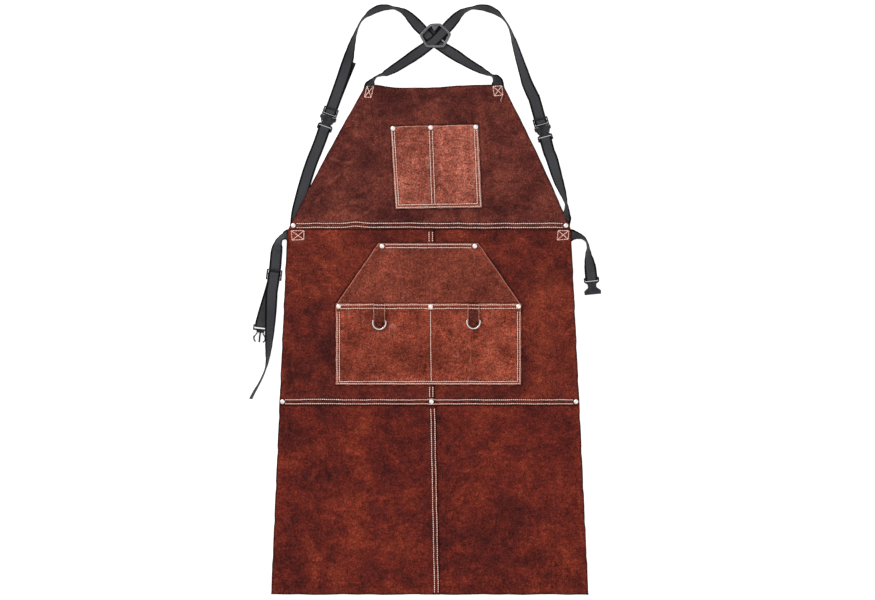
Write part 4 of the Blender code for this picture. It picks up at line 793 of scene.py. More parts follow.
# painted shadow round the hand pocket; the right panel also gets painted shade along the left panel's lap edge
up_shade_lines = [POCKET_LINES[1]]
hide_piece("skirt_upper_right_hide", up_ys, lambda y: np.asarray(y, float) * 0 + C1, edge_noise(skirt_right, 71),
           shares(309.0, 3.2, [(0, 22, 1.6), (190, 200, 1.4)]), z_up_right, HIDE, "skirt_upper_right",
           ROWS["lower_seam"], up_shade_lines + [np.array([(C2, -221.0), (C2, 148.0)])], (0.318, 0.385), ("skirt_lower_right_hide",), 103)
hide_piece("skirt_upper_left_hide", up_ys, edge_noise(skirt_left, 72), lambda y: np.asarray(y, float) * 0 + C2,
           shares(315.0, 3.2, [(110, 122, 1.4), (293, 315, 1.1)]), z_up_left, HIDE, "skirt_upper_left",
           ROWS["lower_seam"] + ROWS["centre_seam_upper"], up_shade_lines, (0.323, 0.385), ("skirt_lower_left_hide",), 104)
bib_ys = lines(BIB_BOTTOM, BIB_TOP, 3.0, [(BIB_BOTTOM, 165, 1.1), (186, 200, 1.5), (358, 370, 1.5)])
# the outline passed here gets a painted shadow round the chest pocket; pales are light scuffs plus, from (-178, 164) to
# (-102, 195), a painted highlight on a wrinkle's ridge; marks are painted shade just below that wrinkle
hide_piece("bib_panel_hide", bib_ys, edge_noise(bib_left, 73, 0.5), edge_noise(bib_right, 74, 0.5),
           shares(440.0, 2.7), z_bib, HIDE_BIB, "bib_panel", ROWS["waist_seam"], [POCKET_LINES[0]],
           (0.591, 0.303), ("skirt_upper_left_hide", "skirt_upper_right_hide"), 105, bib_drop,
           pales=[np.array(q, float) for q in ([(-124.5, 404), (-127, 394), (-128.7, 383)], [(-143.4, 372), (-145.5, 352), (-144, 338)],
                  [(-178, 164), (-160, 168), (-142, 175), (-124, 183), (-102, 195)], [(-150, 402), (-158, 388)],
                  [(-196, 296), (-172, 286), (-150, 290)], [(-205, 240), (-180, 262)], [(-232, 205), (-214, 222)], [(20, 420), (48, 417)])],
           marks=[np.array(q, float) for q in ([(-165, 163.8), (-150, 166.5), (-138, 170)], [(-128, 176), (-112, 182)])])


# ------------------------------------------------------------------ pockets
def chest_rise(u, v, x, y):
    h = np.abs(u - 0.5)
    c = np.minimum(1 - st(h, 0.5 - 0.17, 0.5 - 0.052), st(h, 0.04, 0.17))
    return RISE * c * st(v, 0.05, 0.28) * (0.84 + 0.14 * lump(x, y, 31, 70))


uu = np.linspace(0, 1, 150)
vv = np.linspace(0, 1, 144)
uu = np.sort(np.concatenate([uu, [0.0042, 0.9958]]))
vv = np.sort(np.concatenate([vv, [0.0045, 0.9955]]))
U, Vg = np.meshgrid(uu, vv)
P = chest_xy(U, Vg)
CX, CY = P[..., 0], P[..., 1]
CX = CX + 0.5 * wob(CY, 81, 55) * (np.exp(-U / 0.03) + np.exp(-(1 - U) / 0.03))
CY = CY + (0.6 * wob(CX, 82, 60)) * np.exp(-Vg / 0.03) + (0.7 * wob(CX, 83, 90) - 0.6) * np.exp(-(1 - Vg) / 0.05)


def z_chest(x, y, u, v):
    return 1.5 + PLY + wave(x, y) + chest_rise(u, v, x, y)


CHEST_MARKS = [np.array(q, float) for q in (
    [(38, 336), (52, 333), (70, 334), (92, 330)], [(52, 318), (74, 315), (96, 316)], [(28, 303), (45, 305), (63, 302)],
    [(60, 288), (84, 284), (101, 286)], [(66, 200), (78, 208), (90, 219), (104, 236)], [(-52, 322), (-38, 318), (-30, 321)],
    [(-46, 246), (-36, 240)], [(30, 262), (44, 258), (50, 262)], [(-22, 282), (-10, 286)])]
slab("chest_pocket_hide", CX, CY, z_chest(CX, CY, U, Vg), POCKET, "chest_pocket",
     ROWS["chest_pocket_thread"] + ROWS["chest_centre_thread"], (), CHEST_MARKS, 1.3, 0.9, rests=("bib_panel_hide",),
     flat=(0.186, 0.178), area=poly_area(CP), slot="pocket_hide", seed=111, groove=0.5, dark_reach=2.1, rough_edge=0.6)


def hand_profile(x):
    a = st(x, HP_LEFT + HP_SEAM, HP_LEFT + HP_SEAM + HP_RUN + 12)
    b = 1.0 - st(x, HP_RIGHT - HP_SEAM - HP_RUN - 12, HP_RIGHT - HP_SEAM)
    c = np.where(x < HP_MID, 1 - st(x, C0 - 26, C0), st(x, C3, C3 + 26))
    return np.minimum(np.minimum(a, b), c)


def z_hand_base(x, y):
    return 1.5 + PLY * (1.0 + lap_bump(x)) + wave(x, y)


def crown(x, y):
    return RISE * hand_profile(x) * (0.90 + 0.09 * lump(x, y, 33, 85))


def z_front(x, y):
    return z_hand_base(x, y) + crown(x, y) * st(y, HP_BOTTOM + HP_SEAM, HP_BOTTOM + HP_SEAM + HP_RUN + 10) \
        + PLY * st(y, HP_TOP - HP_LAP - RAMP, HP_TOP - HP_LAP)


# painted shadow on the pocket front inside and under each D-ring
RING_SHADOWS = [np.array([(cx - 7.5, cy - 6), (cx - 5, cy - 11.5), (cx, cy - 13.6), (cx + 5, cy - 11.5), (cx + 7.5, cy - 6)])
              for cx, cy in ((-96.5, -43.5), (100.0, -42.0))]
FRONT_MARKS = [np.array(q, float) for q in (
    [(114, -155), (122, -149), (131, -138), (147, -126)], [(99, -62), (108, -68), (121, -75), (134, -87)],
    [(150, -77), (158, -71)], [(118, -92), (128, -98)], [(-131, -92), (-119, -96)], [(-60, -112), (-46, -108), (-38, -111)],
    [(-150, -138), (-136, -143)], [(46, -60), (54, -72)], [(60, -128), (74, -133)])]
fx = lines(HP_LEFT, HP_RIGHT, 2.0, [(HP_LEFT, HP_LEFT + 11, 1.0), (6, 15, 1.0), (HP_RIGHT - 11, HP_RIGHT, 1.0)])
fy = lines(HP_BOTTOM, HP_TOP, 2.0, [(HP_BOTTOM, HP_BOTTOM + 11, 1.0), (-21, HP_TOP, 1.0)])
FX, FY = np.meshgrid(fx, fy)
FYw = FY + (0.8 * wob(FX, 85, 48) + 0.3 * wob(FX, 86, 11)) * np.exp(-(FY - HP_BOTTOM) / 5) + 0.5 * wob(FX, 87, 80) * np.exp(-(HP_TOP - FY) / 6)
FXw = FX + 0.6 * wob(FY, 88, 50) * (np.exp(-(FX - HP_LEFT) / 6) + np.exp(-(HP_RIGHT - FX) / 6))
slab("hand_pocket_front_hide", FXw, FYw, z_front(FX, FY), POCKET_HAND, "hand_pocket_front",
     ROWS["hand_pocket_thread"] + ROWS["hand_centre_thread"] + ROWS["pocket_join_thread"], RING_SHADOWS, FRONT_MARKS, 1.3, 0.9,
     rests=("skirt_upper_left_hide", "skirt_upper_right_hide"), flat=(0.3865, 0.169), slot="pocket_hide", seed=112,
     groove=0.5, dark_reach=2.1, rough_edge=0.8)

ty = lines(HP_TOP - HP_LAP, HT_Y, 2.4, [(106, HT_Y, 1.1), (-9, 0, 1.2)])
tf = shares(383.5, 2.6)
TF, TY = np.meshgrid(tf, ty)
TT = np.clip((TY - HP_TOP) / (HT_Y - HP_TOP), 0, 1)
XL = (HP_LEFT + 1.5) + (HT_LEFT - HP_LEFT - 1.5) * TT
XR = (HP_RIGHT - 1.5) + (HT_RIGHT - HP_RIGHT + 1.5) * TT
TX = XL + (XR - XL) * TF
X0 = (HP_LEFT + 1.5) + (HP_RIGHT - HP_LEFT - 3.0) * TF
edge_in = np.minimum(TX - XL, XR - TX)
mouth = st(TT, 0.0, 0.16) * (1 - st(TT, 0.56, 0.88)) * np.exp(-(edge_in / 34.0) ** 2)
bodyr = hand_profile(X0) * (0.90 + 0.09 * lump(TX, TY, 33, 85)) * (1 - st(TT, 0.30, 0.90))
TZ = z_hand_base(TX, TY) + RISE * np.maximum(bodyr, 0.82 * mouth)
TXw = TX + 0.5 * wob(TY, 89, 50) * (np.exp(-(TX - XL) / 6) - np.exp(-(XR - TX) / 6)) * st(TT, 0, 0.1)
# painted shade on the top piece just above the front's upper edge
slab("hand_pocket_top_hide", TXw, TY, TZ, POCKET_TOP, "hand_pocket_top", ROWS["pocket_top_thread"],
     [np.array([(HP_LEFT, HP_TOP), (HP_RIGHT, HP_TOP)])], (), 1.2, 0.95, rests=("skirt_upper_left_hide", "skirt_upper_right_hide"),
     flat=(0.3835, 0.1385), area=min(grid_area(TX, TY), 0.3835 * 0.1385), slot="pocket_hide", seed=113, groove=0.5, dark_reach=2.1,
     rough_edge=0.5)

# ------------------------------------------------------------------ ring tabs
TAB_Z = 13.7


def tab_path(y_top, y_axis, z0, z_axis):
    """Outer line of the folded tab, from its top end round the ring's bar and back, and its normal side."""
    r = 2.45
    up = [(y_top, z0 + 2.25), (y_top - 6, z0 + 2.35), (y_top - 14, z0 + 2.6), ((y_top + y_axis) / 2 - 3, z0 + 3.3),
          (y_axis + 7.5, z0 + 4.2)]
    arc = [(y_axis + r * math.cos(a), z_axis + r * math.sin(a)) for a in np.radians(np.linspace(62, 292, 15))]
    back = [(y_axis + 7.5, z0 + 0.55), ((y_top + y_axis) / 2, z0 + 0.6), (y_top, z0 + 0.72)]
    return np.array(up + arc + back)


def chaikin(A, times=2):
    A = np.asarray(A, float)
    for _ in range(times):
        q = A[:-1] * 0.75 + A[1:] * 0.25
        r = A[:-1] * 0.25 + A[1:] * 0.75
        mid = np.empty((2 * len(q),) + A.shape[1:])
        mid[0::2], mid[1::2] = q, r
        A = np.concatenate([A[:1], mid, A[-1:]])
    return A


def tab(name, node, x, y_top, y_axis, seed):
    c = chaikin(tab_path(y_top, y_axis, TAB_Z, TAB_Z + 2.2), 2)
    t = np.gradient(c, axis=0)
    t /= np.linalg.norm(t, axis=1)[:, None]
    nrm = np.stack([-t[:, 1], t[:, 0]], 1)      # points outwards on the way down is flipped below
    th = 0.68
    w = 12.2
    us = np.array([-1, -0.93, -0.8, -0.5, -0.2, 0.2, 0.5, 0.8, 0.93, 1.0])
    prof = np.array([0.45, 0.9, 1, 1, 1, 1, 1, 1, 0.9, 0.45])
    n = len(c)
    s = np.concatenate([[0], np.cumsum(np.linalg.norm(np.diff(c, axis=0), axis=1))])
    V, ring = [], 2 * len(us)
    for k in range(n):
        wk = w + 0.35 * float(wob(s[k], seed, 26))
        for sign, order in ((1, us), (-1, us[::-1])):
            pr = prof if sign > 0 else prof[::-1]
            for q, uq in enumerate(order):
                o = c[k] + sign * nrm[k] * th * pr[q]
                V.append((x + uq * wk, o[0], o[1]))
    F = []
    for k in range(n - 1):
        for q in range(ring):
            r = (q + 1) % ring
            F.append((k * ring + q, k * ring + r, (k + 1) * ring + r, (k + 1) * ring + q))
    F.append(tuple(range(ring))[::-1])
    F.append(tuple((n - 1) * ring + q for q in range(ring)))
    V = np.array(V)
    across = np.abs(V[:, 0] - x) / w
    # a painted shade band just inside each side edge; the edges themselves show pale fibre
    attrs = {"edge": 0.95 * st(across, 0.86, 0.97), "seam": 0.75 * np.exp(-((across - 0.74) / 0.09) ** 2)}
    ob = make(name, V, F, TAB, "root", node, True, attrs)
    return ob


tab("ring_tab_left_hide", "ring_tab_left", -96.5, -6.5, -43.5, 121)
tab("ring_tab_right_hide", "ring_tab_right", 100.0, -7.5, -42.0, 122)


def on_tab(x, y):
    """Height of the tabs' top face where there is one, else -1."""
    z = np.full(np.shape(x), -1.0)
    for cx in (-96.5, 100.0):
        z = np.where(np.abs(x - cx) < 12.0, TAB_Z + 2.25 + 0.65 + 0.013 * np.maximum(-7.0 - y, 0), z)
    return z


# ------------------------------------------------------------------ stitches
def stitches(name, node, rows, surf, pitch=4.2, dia=2.15, seed=0, mat=THREAD, gap=0.24, extra=None):
    """Lock stitches: each one rises from its hole, lies on the hide and dives again."""
    r = np.random.default_rng(seed)
    S, N = 7, 6
    lift = np.array([-0.45, 0.22, 0.42, 0.47, 0.42, 0.22, -0.45])
    rad = np.array([0.55, 0.86, 1.0, 1.03, 1.0, 0.86, 0.55]) * dia / 2
    V, F, base = [], [], 0
    for row in rows:
        p = np.asarray(row, float)
        cum = np.concatenate([[0], np.cumsum(np.linalg.norm(np.diff(p, axis=0), axis=1))])
        n = max(1, int(round(cum[-1] / pitch)))
        step = cum[-1] / n
        s0 = np.arange(n) * step + gap + r.uniform(-0.08, 0.08, n)
        s1 = np.arange(1, n + 1) * step - gap + r.uniform(-0.08, 0.08, n)
        ss = s0[:, None] + (s1 - s0)[:, None] * np.array([0, 0.1, 0.28, 0.5, 0.72, 0.9, 1.0])[None, :]
        x, y = np.interp(ss, cum, p[:, 0]), np.interp(ss, cum, p[:, 1])
        slant = r.normal(0, 0.05, n)[:, None] * (np.linspace(-1, 1, S))[None, :] + r.normal(0, 0.07, n)[:, None]
        tx, ty = np.gradient(x, axis=1), np.gradient(y, axis=1)
        ln = np.maximum(np.hypot(tx, ty), 1e-9)
        nx, ny = -ty / ln, tx / ln
        x, y = x + nx * slant, y + ny * slant
        z = surf(x, y) + lift[None, :] * (dia / 1.3)
        twist = np.linspace(0, 2.6, S)[None, :] + r.uniform(0, 3, n)[:, None]
        ang = np.arange(N) * 2 * math.pi / N
        a = ang[None, None, :]
        rr = rad[None, :, None] * (0.90 + 0.10 * np.cos(2 * (a - twist[:, :, None])))
        vx = x[:, :, None] + nx[:, :, None] * np.cos(a) * rr
        vy = y[:, :, None] + ny[:, :, None] * np.cos(a) * rr
        vz = z[:, :, None] + np.sin(a) * rr * 0.82
        V.append(np.stack([vx, vy, vz], -1).reshape(-1, 3))
        k = np.arange(n)[:, None, None] * S * N + np.arange(S - 1)[None, :, None] * N
        q = np.arange(N)[None, None, :]
        q2 = (q + 1) % N
        F.append(np.stack([k + q, k + q2, k + N + q2, k + N + q], -1).reshape(-1, 4) + base)
        caps0 = (np.arange(n)[:, None] * S * N + np.arange(N)[None, ::-1]) + base
        caps1 = (np.arange(n)[:, None] * S * N + (S - 1) * N + np.arange(N)[None, :]) + base
        F.append(np.concatenate([caps0, caps1]))
        base += n * S * N
    faces = []
    for f in F:
        faces += f.tolist()
    V = np.concatenate(V)
    if extra is not None:
        ev, ef = extra
        faces += [tuple(i + len(V) for i in f) for f in ef]
        V = np.concatenate([V, ev])
    return make(name, V, faces, mat, "root", node, True)


def z_join(x, y):
    return np.maximum(z_hand_base(x, y) + crown(x, y) + PLY + LEATHER, on_tab(x, y))


stitches("waist_seam_stitches", "waist_seam", ROWS["waist_seam"], top_bib, seed=1)
stitches("lower_seam_stitches", "lower_seam", ROWS["lower_seam"], top_up, seed=2)
stitches("centre_seam_upper_stitches", "centre_seam_upper", ROWS["centre_seam_upper"], top_up, seed=3)
stitches("centre_seam_lower_stitches", "centre_seam_lower", ROWS["centre_seam_lower"], top_low, seed=4)


def chest_flat(x, y):
    return 1.5 + PLY + LEATHER + wave(x, y)


stitches("chest_pocket_stitches", "chest_pocket_thread", ROWS["chest_pocket_thread"], chest_flat, 3.6, seed=5)
stitches("chest_centre_stitches", "chest_centre_thread", ROWS["chest_centre_thread"], chest_flat, 3.6, seed=6)
HAND_Z = lambda x, y: z_hand_base(x, y) + LEATHER
stitches("hand_pocket_stitches", "hand_pocket_thread", ROWS["hand_pocket_thread"], HAND_Z, 3.8, seed=7)
stitches("hand_centre_stitches", "hand_centre_thread", ROWS["hand_centre_thread"], HAND_Z, 3.8, seed=8)
stitches("pocket_join_stitches", "pocket_join_thread", ROWS["pocket_join_thread"], z_join, 3.8, seed=9)
stitches("pocket_top_stitches", "pocket_top_thread", ROWS["pocket_top_thread"], HAND_Z, 3.8, seed=10)


def box_rows(c):
    q = [np.array(p, float) for p in c]
    per = [np.array([q[k], q[(k + 1) % 4]]) for k in range(4)]
    return per + [np.array([q[0] * 0.96 + q[2] * 0.04, q[2] * 0.96 + q[0] * 0.04]),
                  np.array([q[1] * 0.96 + q[3] * 0.04, q[3] * 0.96 + q[1] * 0.04])]


def loose_tail(points, r0=0.45):
    """A short end of thread left hanging from a box stitch."""
    p = chaikin(np.array(points, float), 3)
    t = np.gradient(p, axis=0)
    t /= np.linalg.norm(t, axis=1)[:, None]
    side = np.cross(t, (0, 0, 1.0))
    side /= np.maximum(np.linalg.norm(side, axis=1), 1e-6)[:, None]
    upv = np.cross(side, t)
    V, F, N = [], [], 6
    for k in range(len(p)):
        for q in range(N):
            a = 2 * math.pi * q / N + k * 0.5
            V.append(p[k] + (side[k] * math.cos(a) + upv[k] * math.sin(a)) * r0 * (1 if k < len(p) - 2 else 0.6))
    for k in range(len(p) - 1):
        for q in range(N):
            F.append((k * N + q, k * N + (q + 1) % N, (k + 1) * N + (q + 1) % N, (k + 1) * N + q))
    F += [tuple(range(N))[::-1], tuple((len(p) - 1) * N + q for q in range(N))]
    return np.array(V), F


BOXES = [("box_stitch_bib_left", [(-127.5, 424.5), (-113.8, 423.6), (-108.4, 447.0), (-122.3, 447.4)], top_bib),
         ("box_stitch_bib_right", [(144.0, 426.5), (162.0, 428.5), (159.5, 447.6), (141.0, 446.8)], top_bib),
         ("box_stitch_waist_left", [(-279.0, 125.0), (-254.5, 126.5), (-254.0, 145.0), (-280.5, 145.0)], top_up),
         ("box_stitch_waist_right", [(275.5, 125.5), (298.5, 127.0), (299.5, 145.0), (277.5, 145.0)], top_up)]
for k, (nm, corners_, sf) in enumerate(BOXES):
    tail = None
    if nm == "box_stitch_bib_right":
        zt = float(top_bib(np.array(158.0), np.array(424.0)))
        tail = loose_tail([(160.5, 427.5, zt + 0.3), (160.0, 423.0, zt + 0.9), (157.0, 419.0, zt + 0.5), (158.5, 414.5, zt + 0.4)])
    stitches(nm + "_thread", nm, box_rows(corners_), sf, 3.4, 2.1, seed=20 + k, extra=tail)

# ------------------------------------------------------------------ rivets
RIVETS = [("rivet_chest_left", -68.0, 358.5, 2), ("rivet_chest_centre", 10.7, 360.5, 2), ("rivet_chest_right", 105.0, 361.5, 2),
          ("rivet_hand_top_left", -91.0, 112.5, 2), ("rivet_hand_top_right", 103.0, 112.5, 2),
          ("rivet_hand_left", -181.8, -13.5, 3), ("rivet_hand_centre", HP_MID, -14.0, 4), ("rivet_hand_right", 194.4, -13.5, 3),
          ("rivet_waist_left", -276.5, 155.8, 2), ("rivet_waist_right", 293.5, 155.8, 2),
          ("rivet_seam_left", -299.0, -212.4, 2), ("rivet_seam_centre", 12.4, -212.4, 4), ("rivet_seam_right", 314.5, -212.4, 2)]


def rivet(name, x, y, plies, seed):
    """Domed cap with a rolled rim, its shank and the small back cap, as one turned piece."""
    r = np.random.default_rng(seed)
    w = float(wave(np.array(x), np.array(y)))
    z = 1.5 + plies * PLY - GAP + w + 0.15
    prof = [(0.0, 2.15), (0.9, 2.12), (1.9, 1.98), (2.8, 1.68), (3.5, 1.25), (3.95, 0.98), (4.25, 1.02), (4.6, 0.86),
            (4.72, 0.5), (4.6, 0.12), (4.2, 0.0), (1.7, -0.02)]
    low = [(1.7, 1.25), (3.4, 1.22), (3.8, 0.9), (3.8, 0.25), (3.4, 0.02), (0.0, 0.0)]
    pts = [(a, z + b) for a, b in prof] + low
    N = 28
    V, F = [], []
    tx, ty = r.uniform(-0.04, 0.04, 2)
    for a, b in pts:
        if a == 0.0:
            V.append((x, y, b))
            continue
        for q in range(N):
            t = 2 * math.pi * q / N
            rr = a * (1 + 0.012 * math.sin(2 * t + seed) + 0.010 * math.sin(3 * t + 2.0 * seed))
            px, py = rr * math.cos(t), rr * math.sin(t)
            dz = (tx * px + ty * py) if b > z - 0.1 else 0.0
            V.append((x + px, y + py, b + dz))
    rings, o = [], 0
    for a, b in pts:
        rings.append([o] if a == 0.0 else list(range(o, o + N)))
        o += 1 if a == 0.0 else N
    for A, B in zip(rings, rings[1:]):
        for q in range(N):
            s = (q + 1) % N
            if len(A) == 1:
                F.append((A[0], B[q], B[s]))
            elif len(B) == 1:
                F.append((A[q], B[0], A[s]))
            else:
                F.append((A[q], B[q], B[s], A[s]))
    return make(name + "_cap", V, F, RIVET, "root", name, True, angle=60)


for k, (nm, x, y, plies) in enumerate(RIVETS):
    rivet(nm, x, y, plies, 300 + k)

# ------------------------------------------------------------------ webbing
WEB, WEB_T = 25.4, 1.2


def spline(pts, per):
    out, n = [], len(pts)
    for k in range(n - 1):
        p0, p1, p2, p3 = pts[max(k - 1, 0)], pts[k], pts[k + 1], pts[min(k + 2, n - 1)]
        for j in range(per):
            t = j / per
            row = []
            for a, b, c, d in list(zip(p0, p1, p2, p3))[:2]:
                row.append(0.5 * ((2 * b) + (-a + c) * t + (2 * a - 5 * b + 4 * c - d) * t * t + (-a + 3 * b - 3 * c + d) * t ** 3))
            e = t * t * (3 - 2 * t)
            row += [b + (c - b) * e for b, c in list(zip(p1, p2))[2:]]
            out.append(row)
    out.append(list(pts[-1]))
    return out


def laid(route, per=4):
    rows = spline(route, per)
    out = []
    for k, (x, y, h, roll) in enumerate(rows):
        a, b = rows[max(k - 1, 0)], rows[min(k + 1, len(rows) - 1)]
        d = Vector((b[0] - a[0], b[1] - a[1])).normalized()
        nrm = Vector((-d.y, d.x, 0))
        r = math.radians(roll)
        w = WEB / 2
        zc = h + w * abs(math.sin(r)) + 0.6 * abs(math.cos(r)) + 0.05
        side = nrm * math.cos(r) + Vector((0, 0, math.sin(r)))
        c = Vector((x, y, zc))
        out.append((c + side * w, c - side * w))
    return out


class Place:
    def __init__(self, x, y, dx, dy, z=0.0):
        self.o = Vector((x, y, z))
        self.s = Vector((dx, dy, 0)).normalized()
        self.w = Vector((-self.s.y, self.s.x, 0))

    def at(self, s, w, z):
        return self.o + self.s * s + self.w * w + Vector((0, 0, z))

    def threaded(self, profile, drift=None):
        out = []
        for k, (s, z) in enumerate(profile):
            off = 0.0 if drift is None else drift[k]
            out.append((self.at(s, off + WEB / 2, z), self.at(s, off - WEB / 2, z)))
        return out


BUCKLE_L = Place(-202.2, 384.0, -0.337, -0.9415)
BUCKLE_R = Place(243.8, 362.6, 0.265, -0.9642)
SOCKET_W = Place(350.0, 11.5, -0.095, 0.9955)
INSERT_W = Place(-343.6, -51.5, -0.115, -0.9934)
TRIGLIDE = Place(-316.5, 52.7, -0.1132, -0.9936)
FOLD = [(-60, 3.0), (-42, 3.0), (-26, 2.9), (-18.5, 2.9), (-15.0, 3.6), (-12.6, 5.0), (-10.8, 5.5),
        (-8.6, 5.5), (-6.6, 5.0), (-5.4, 3.6), (-5.5, 2.2), (-6.6, 1.25), (-9, 1.0), (-20, 1.0)]


def as_arrays(rows):
    return np.array([[tuple(a), tuple(b)] for a, b in rows], float)


def strap_to_ladder(route, place, tail):
    end = place.at(-60, 0, 0)
    rows = laid(route[:] + [(end.x, end.y, 2.35, 0)])[:-1]
    rows += place.threaded(FOLD)
    for s, off in tail:
        rows.append((place.at(s, off + WEB / 2, 0.8), place.at(s, off - WEB / 2, 0.8)))
    return as_arrays(rows)


US = np.array([-1.0, -0.985, -0.93, -0.80, -0.5, -0.2, 0.2, 0.5, 0.80, 0.93, 0.985, 1.0])
UP = np.array([0.30, 0.72, 1.0, 0.90, 0.86, 0.88, 0.88, 0.86, 0.90, 1.0, 0.72, 0.30])


def strap(name, rows, v0, node=None, body="root", blend=None, flat_name=None, caps=(True, True)):
    """Woven strap: thin body with fuller selvedges, from pairs of edge points."""
    L, R = rows[:, 0], rows[:, 1]
    c, h = (L + R) / 2, (L - R) / 2
    n = len(c)
    s = np.concatenate([[0], np.cumsum(np.linalg.norm(np.diff(c, axis=0), axis=1))])
    t = np.gradient(c, axis=0)
    t /= np.maximum(np.linalg.norm(t, axis=1), 1e-9)[:, None]
    nrm = np.cross(t, h)
    nrm /= np.maximum(np.linalg.norm(nrm, axis=1), 1e-9)[:, None]
    ring = 2 * len(US)
    V = np.zeros((n, ring, 3))
    uatt = np.zeros((n, ring))
    th = WEB_T / 2
    for q, (uq, pq) in enumerate(zip(US, UP)):
        V[:, q] = c + h * uq + nrm * th * pq
        V[:, ring - 1 - q] = c + h * uq - nrm * th * pq
        uatt[:, q] = uatt[:, ring - 1 - q] = uq * WEB / 2
    vatt = np.repeat((s + v0)[:, None], ring, 1)
    k = np.arange(n - 1)[:, None] * ring
    q = np.arange(ring)[None, :]
    q2 = (q + 1) % ring
    F = np.stack([k + q, k + ring + q, k + ring + q2, k + q2], -1).reshape(-1, 4).tolist()
    if caps[0]:
        F.append(tuple(range(ring)))
    if caps[1]:
        F.append(tuple((n - 1) * ring + q for q in range(ring))[::-1])
    ob = make(name, V.reshape(-1, 3), F, WEB_MAT, None if blend else body, node, True,
              {"u": uatt.ravel(), "v": vatt.ravel()}, angle=70)
    if blend:
        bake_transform(ob, blend[0], blend[1], start=[q * MM for q in blend[2]], end=[q * MM for q in blend[3]])
    return ob, v0 + float(s[-1])


def nearest(rows, x, y, lo=0, hi=None):
    c = rows.mean(1)
    d = np.hypot(c[:, 0] - x, c[:, 1] - y)
    hi = len(d) if hi is None else hi
    return lo + int(np.argmin(d[lo:hi]))


ROUTE_L = [(-121.5, 424.5, 0, 0), (-118.5, 436.5, 0, 0), (-116.6, 443.5, 0, 0), (-115.0, 449.0, 0, 26), (-112.8, 453.6, 0, 56),
           (-108.4, 460.5, 0, 80), (-101.5, 466.8, 0, 89),
           (-91, 470.5, 0, 82), (-80, 475.0, 0, 62), (-61.0, 486.0, 0, 46), (-42, 498.5, 0.6, 38),
           (-23, 511.5, 2.0, 24), (-4, 525.0, 4.0, 4), (17.4, 541.0, 4.1, 0), (31.5, 555.0, 4.1, 0), (47, 571.5, 2.9, 12),
           (61, 586.5, 0.6, 36), (73, 598.6, 0, 60), (84, 605.0, 0, 76), (97, 609.4, 0, 84), (114, 611.0, 0, 70),
           (131.5, 608.2, 0, 62), (149.0, 600, 0, 70), (161, 589, 0, 86), (168.5, 579.5, 0, 89),
           (174.2, 569.5, 0, 87), (180, 554.5, 0, 80), (186, 536.0, 0.3, 66), (191.8, 517, 1.0, 58),
           (198, 497, 1.6, 50), (205.5, 474, 2.1, 40), (213.5, 450, 2.35, 26)]
ROUTE_R = [(155, 424.5, 0, 0), (153.5, 438.5, 0, 0), (152.0, 447, 0, 0), (150.5, 455.0, 0, -6),
           (147.0, 462.5, 0, -52), (139.0, 468.6, 0, -86),
           (126.5, 474.5, 0, -72), (113, 481.5, 0, -58), (98, 489.5, 0, -50), (81.5, 499.5, 0.0, -42),
           (63, 511.5, 0.8, -22), (41, 525.5, 1.9, -3), (17.4, 541, 2.0, 0), (3.2, 555, 2.0, 0), (-13.5, 571.5, 1.4, -10),
           (-28, 586.5, 0.2, -38), (-41, 599.0, 0, -60), (-53, 605.5, 0, -76), (-66, 609.6, 0, -84), (-82, 611.0, 0, -70),
           (-98, 608.4, 0, -62), (-114, 600.5, 0, -68), (-126.5, 591, 0, -85), (-134.5, 582, 0, -89),
           (-140.5, 570.5, 0, -88), (-146.5, 555, 0.2, -80), (-151.5, 539.5, 0.6, -66), (-156, 523, 1.6, -52),
           (-160.5, 506, 2.2, -34), (-166.5, 486, 2.35, -16), (-174, 463, 2.35, -6)]
TAIL_R = [(-34, 0), (-50, 0.3), (-70, 1.0), (-90, 1.8), (-108, 2.6), (-124, 3.2)]
TAIL_L = [(-34, 0), (-50, 0), (-66, 0)]


def shoulder(node, route, place, tail, loop, insert, entry, leave, ladder):
    """Three lengths of one strap: collar to slider, slider to the top of the loop, loop to the ladder."""
    rows = chaikin(strap_to_ladder(route, place, tail), 2)
    mid, half = rows.mean(1), (rows[:, 0] - rows[:, 1]) / 2
    far = np.hypot(mid[:, 0] - 18.5, mid[:, 1] - 548)
    half *= (1 - 0.17 * np.exp(-(far / 40) ** 2))[:, None]      # bunched in the slider
    rows = np.stack([mid + half, mid - half], 1)
    a = nearest(rows, 17.4, 541, 0, len(rows) // 2)
    b = nearest(rows, loop[0], loop[1], a, len(rows))
    _, v = strap(node + "_collar", rows[:a + 1], 0.0, node, blend=("root", "cross_slider", *entry))
    _, v = strap(node + "_loop", rows[a:b + 1], v, node, blend=("cross_slider", "root", *leave))
    strap(node + "_run", rows[b:], v, node, blend=("root", insert, *ladder))


shoulder("shoulder_strap_left", ROUTE_L, BUCKLE_R, TAIL_L, (114, 611.0), "right_buckle_insert",
         ((-101, 467, 5), (4, 531, 5)), ((33, 557, 5), (106, 611, 5)), ((167, 581, 5), (220, 440, 5)))
shoulder("shoulder_strap_right", ROUTE_R, BUCKLE_L, TAIL_R, (-82, 611.0), "left_buckle_insert",
         ((138, 470, 5), (31, 531, 5)), ((2, 557, 5), (-72, 611, 5)), ((-131, 583, 5), (-149, 547, 5)))

BAR_S, BAR_W, BAR_I = 27.4, 33.4, 2.2


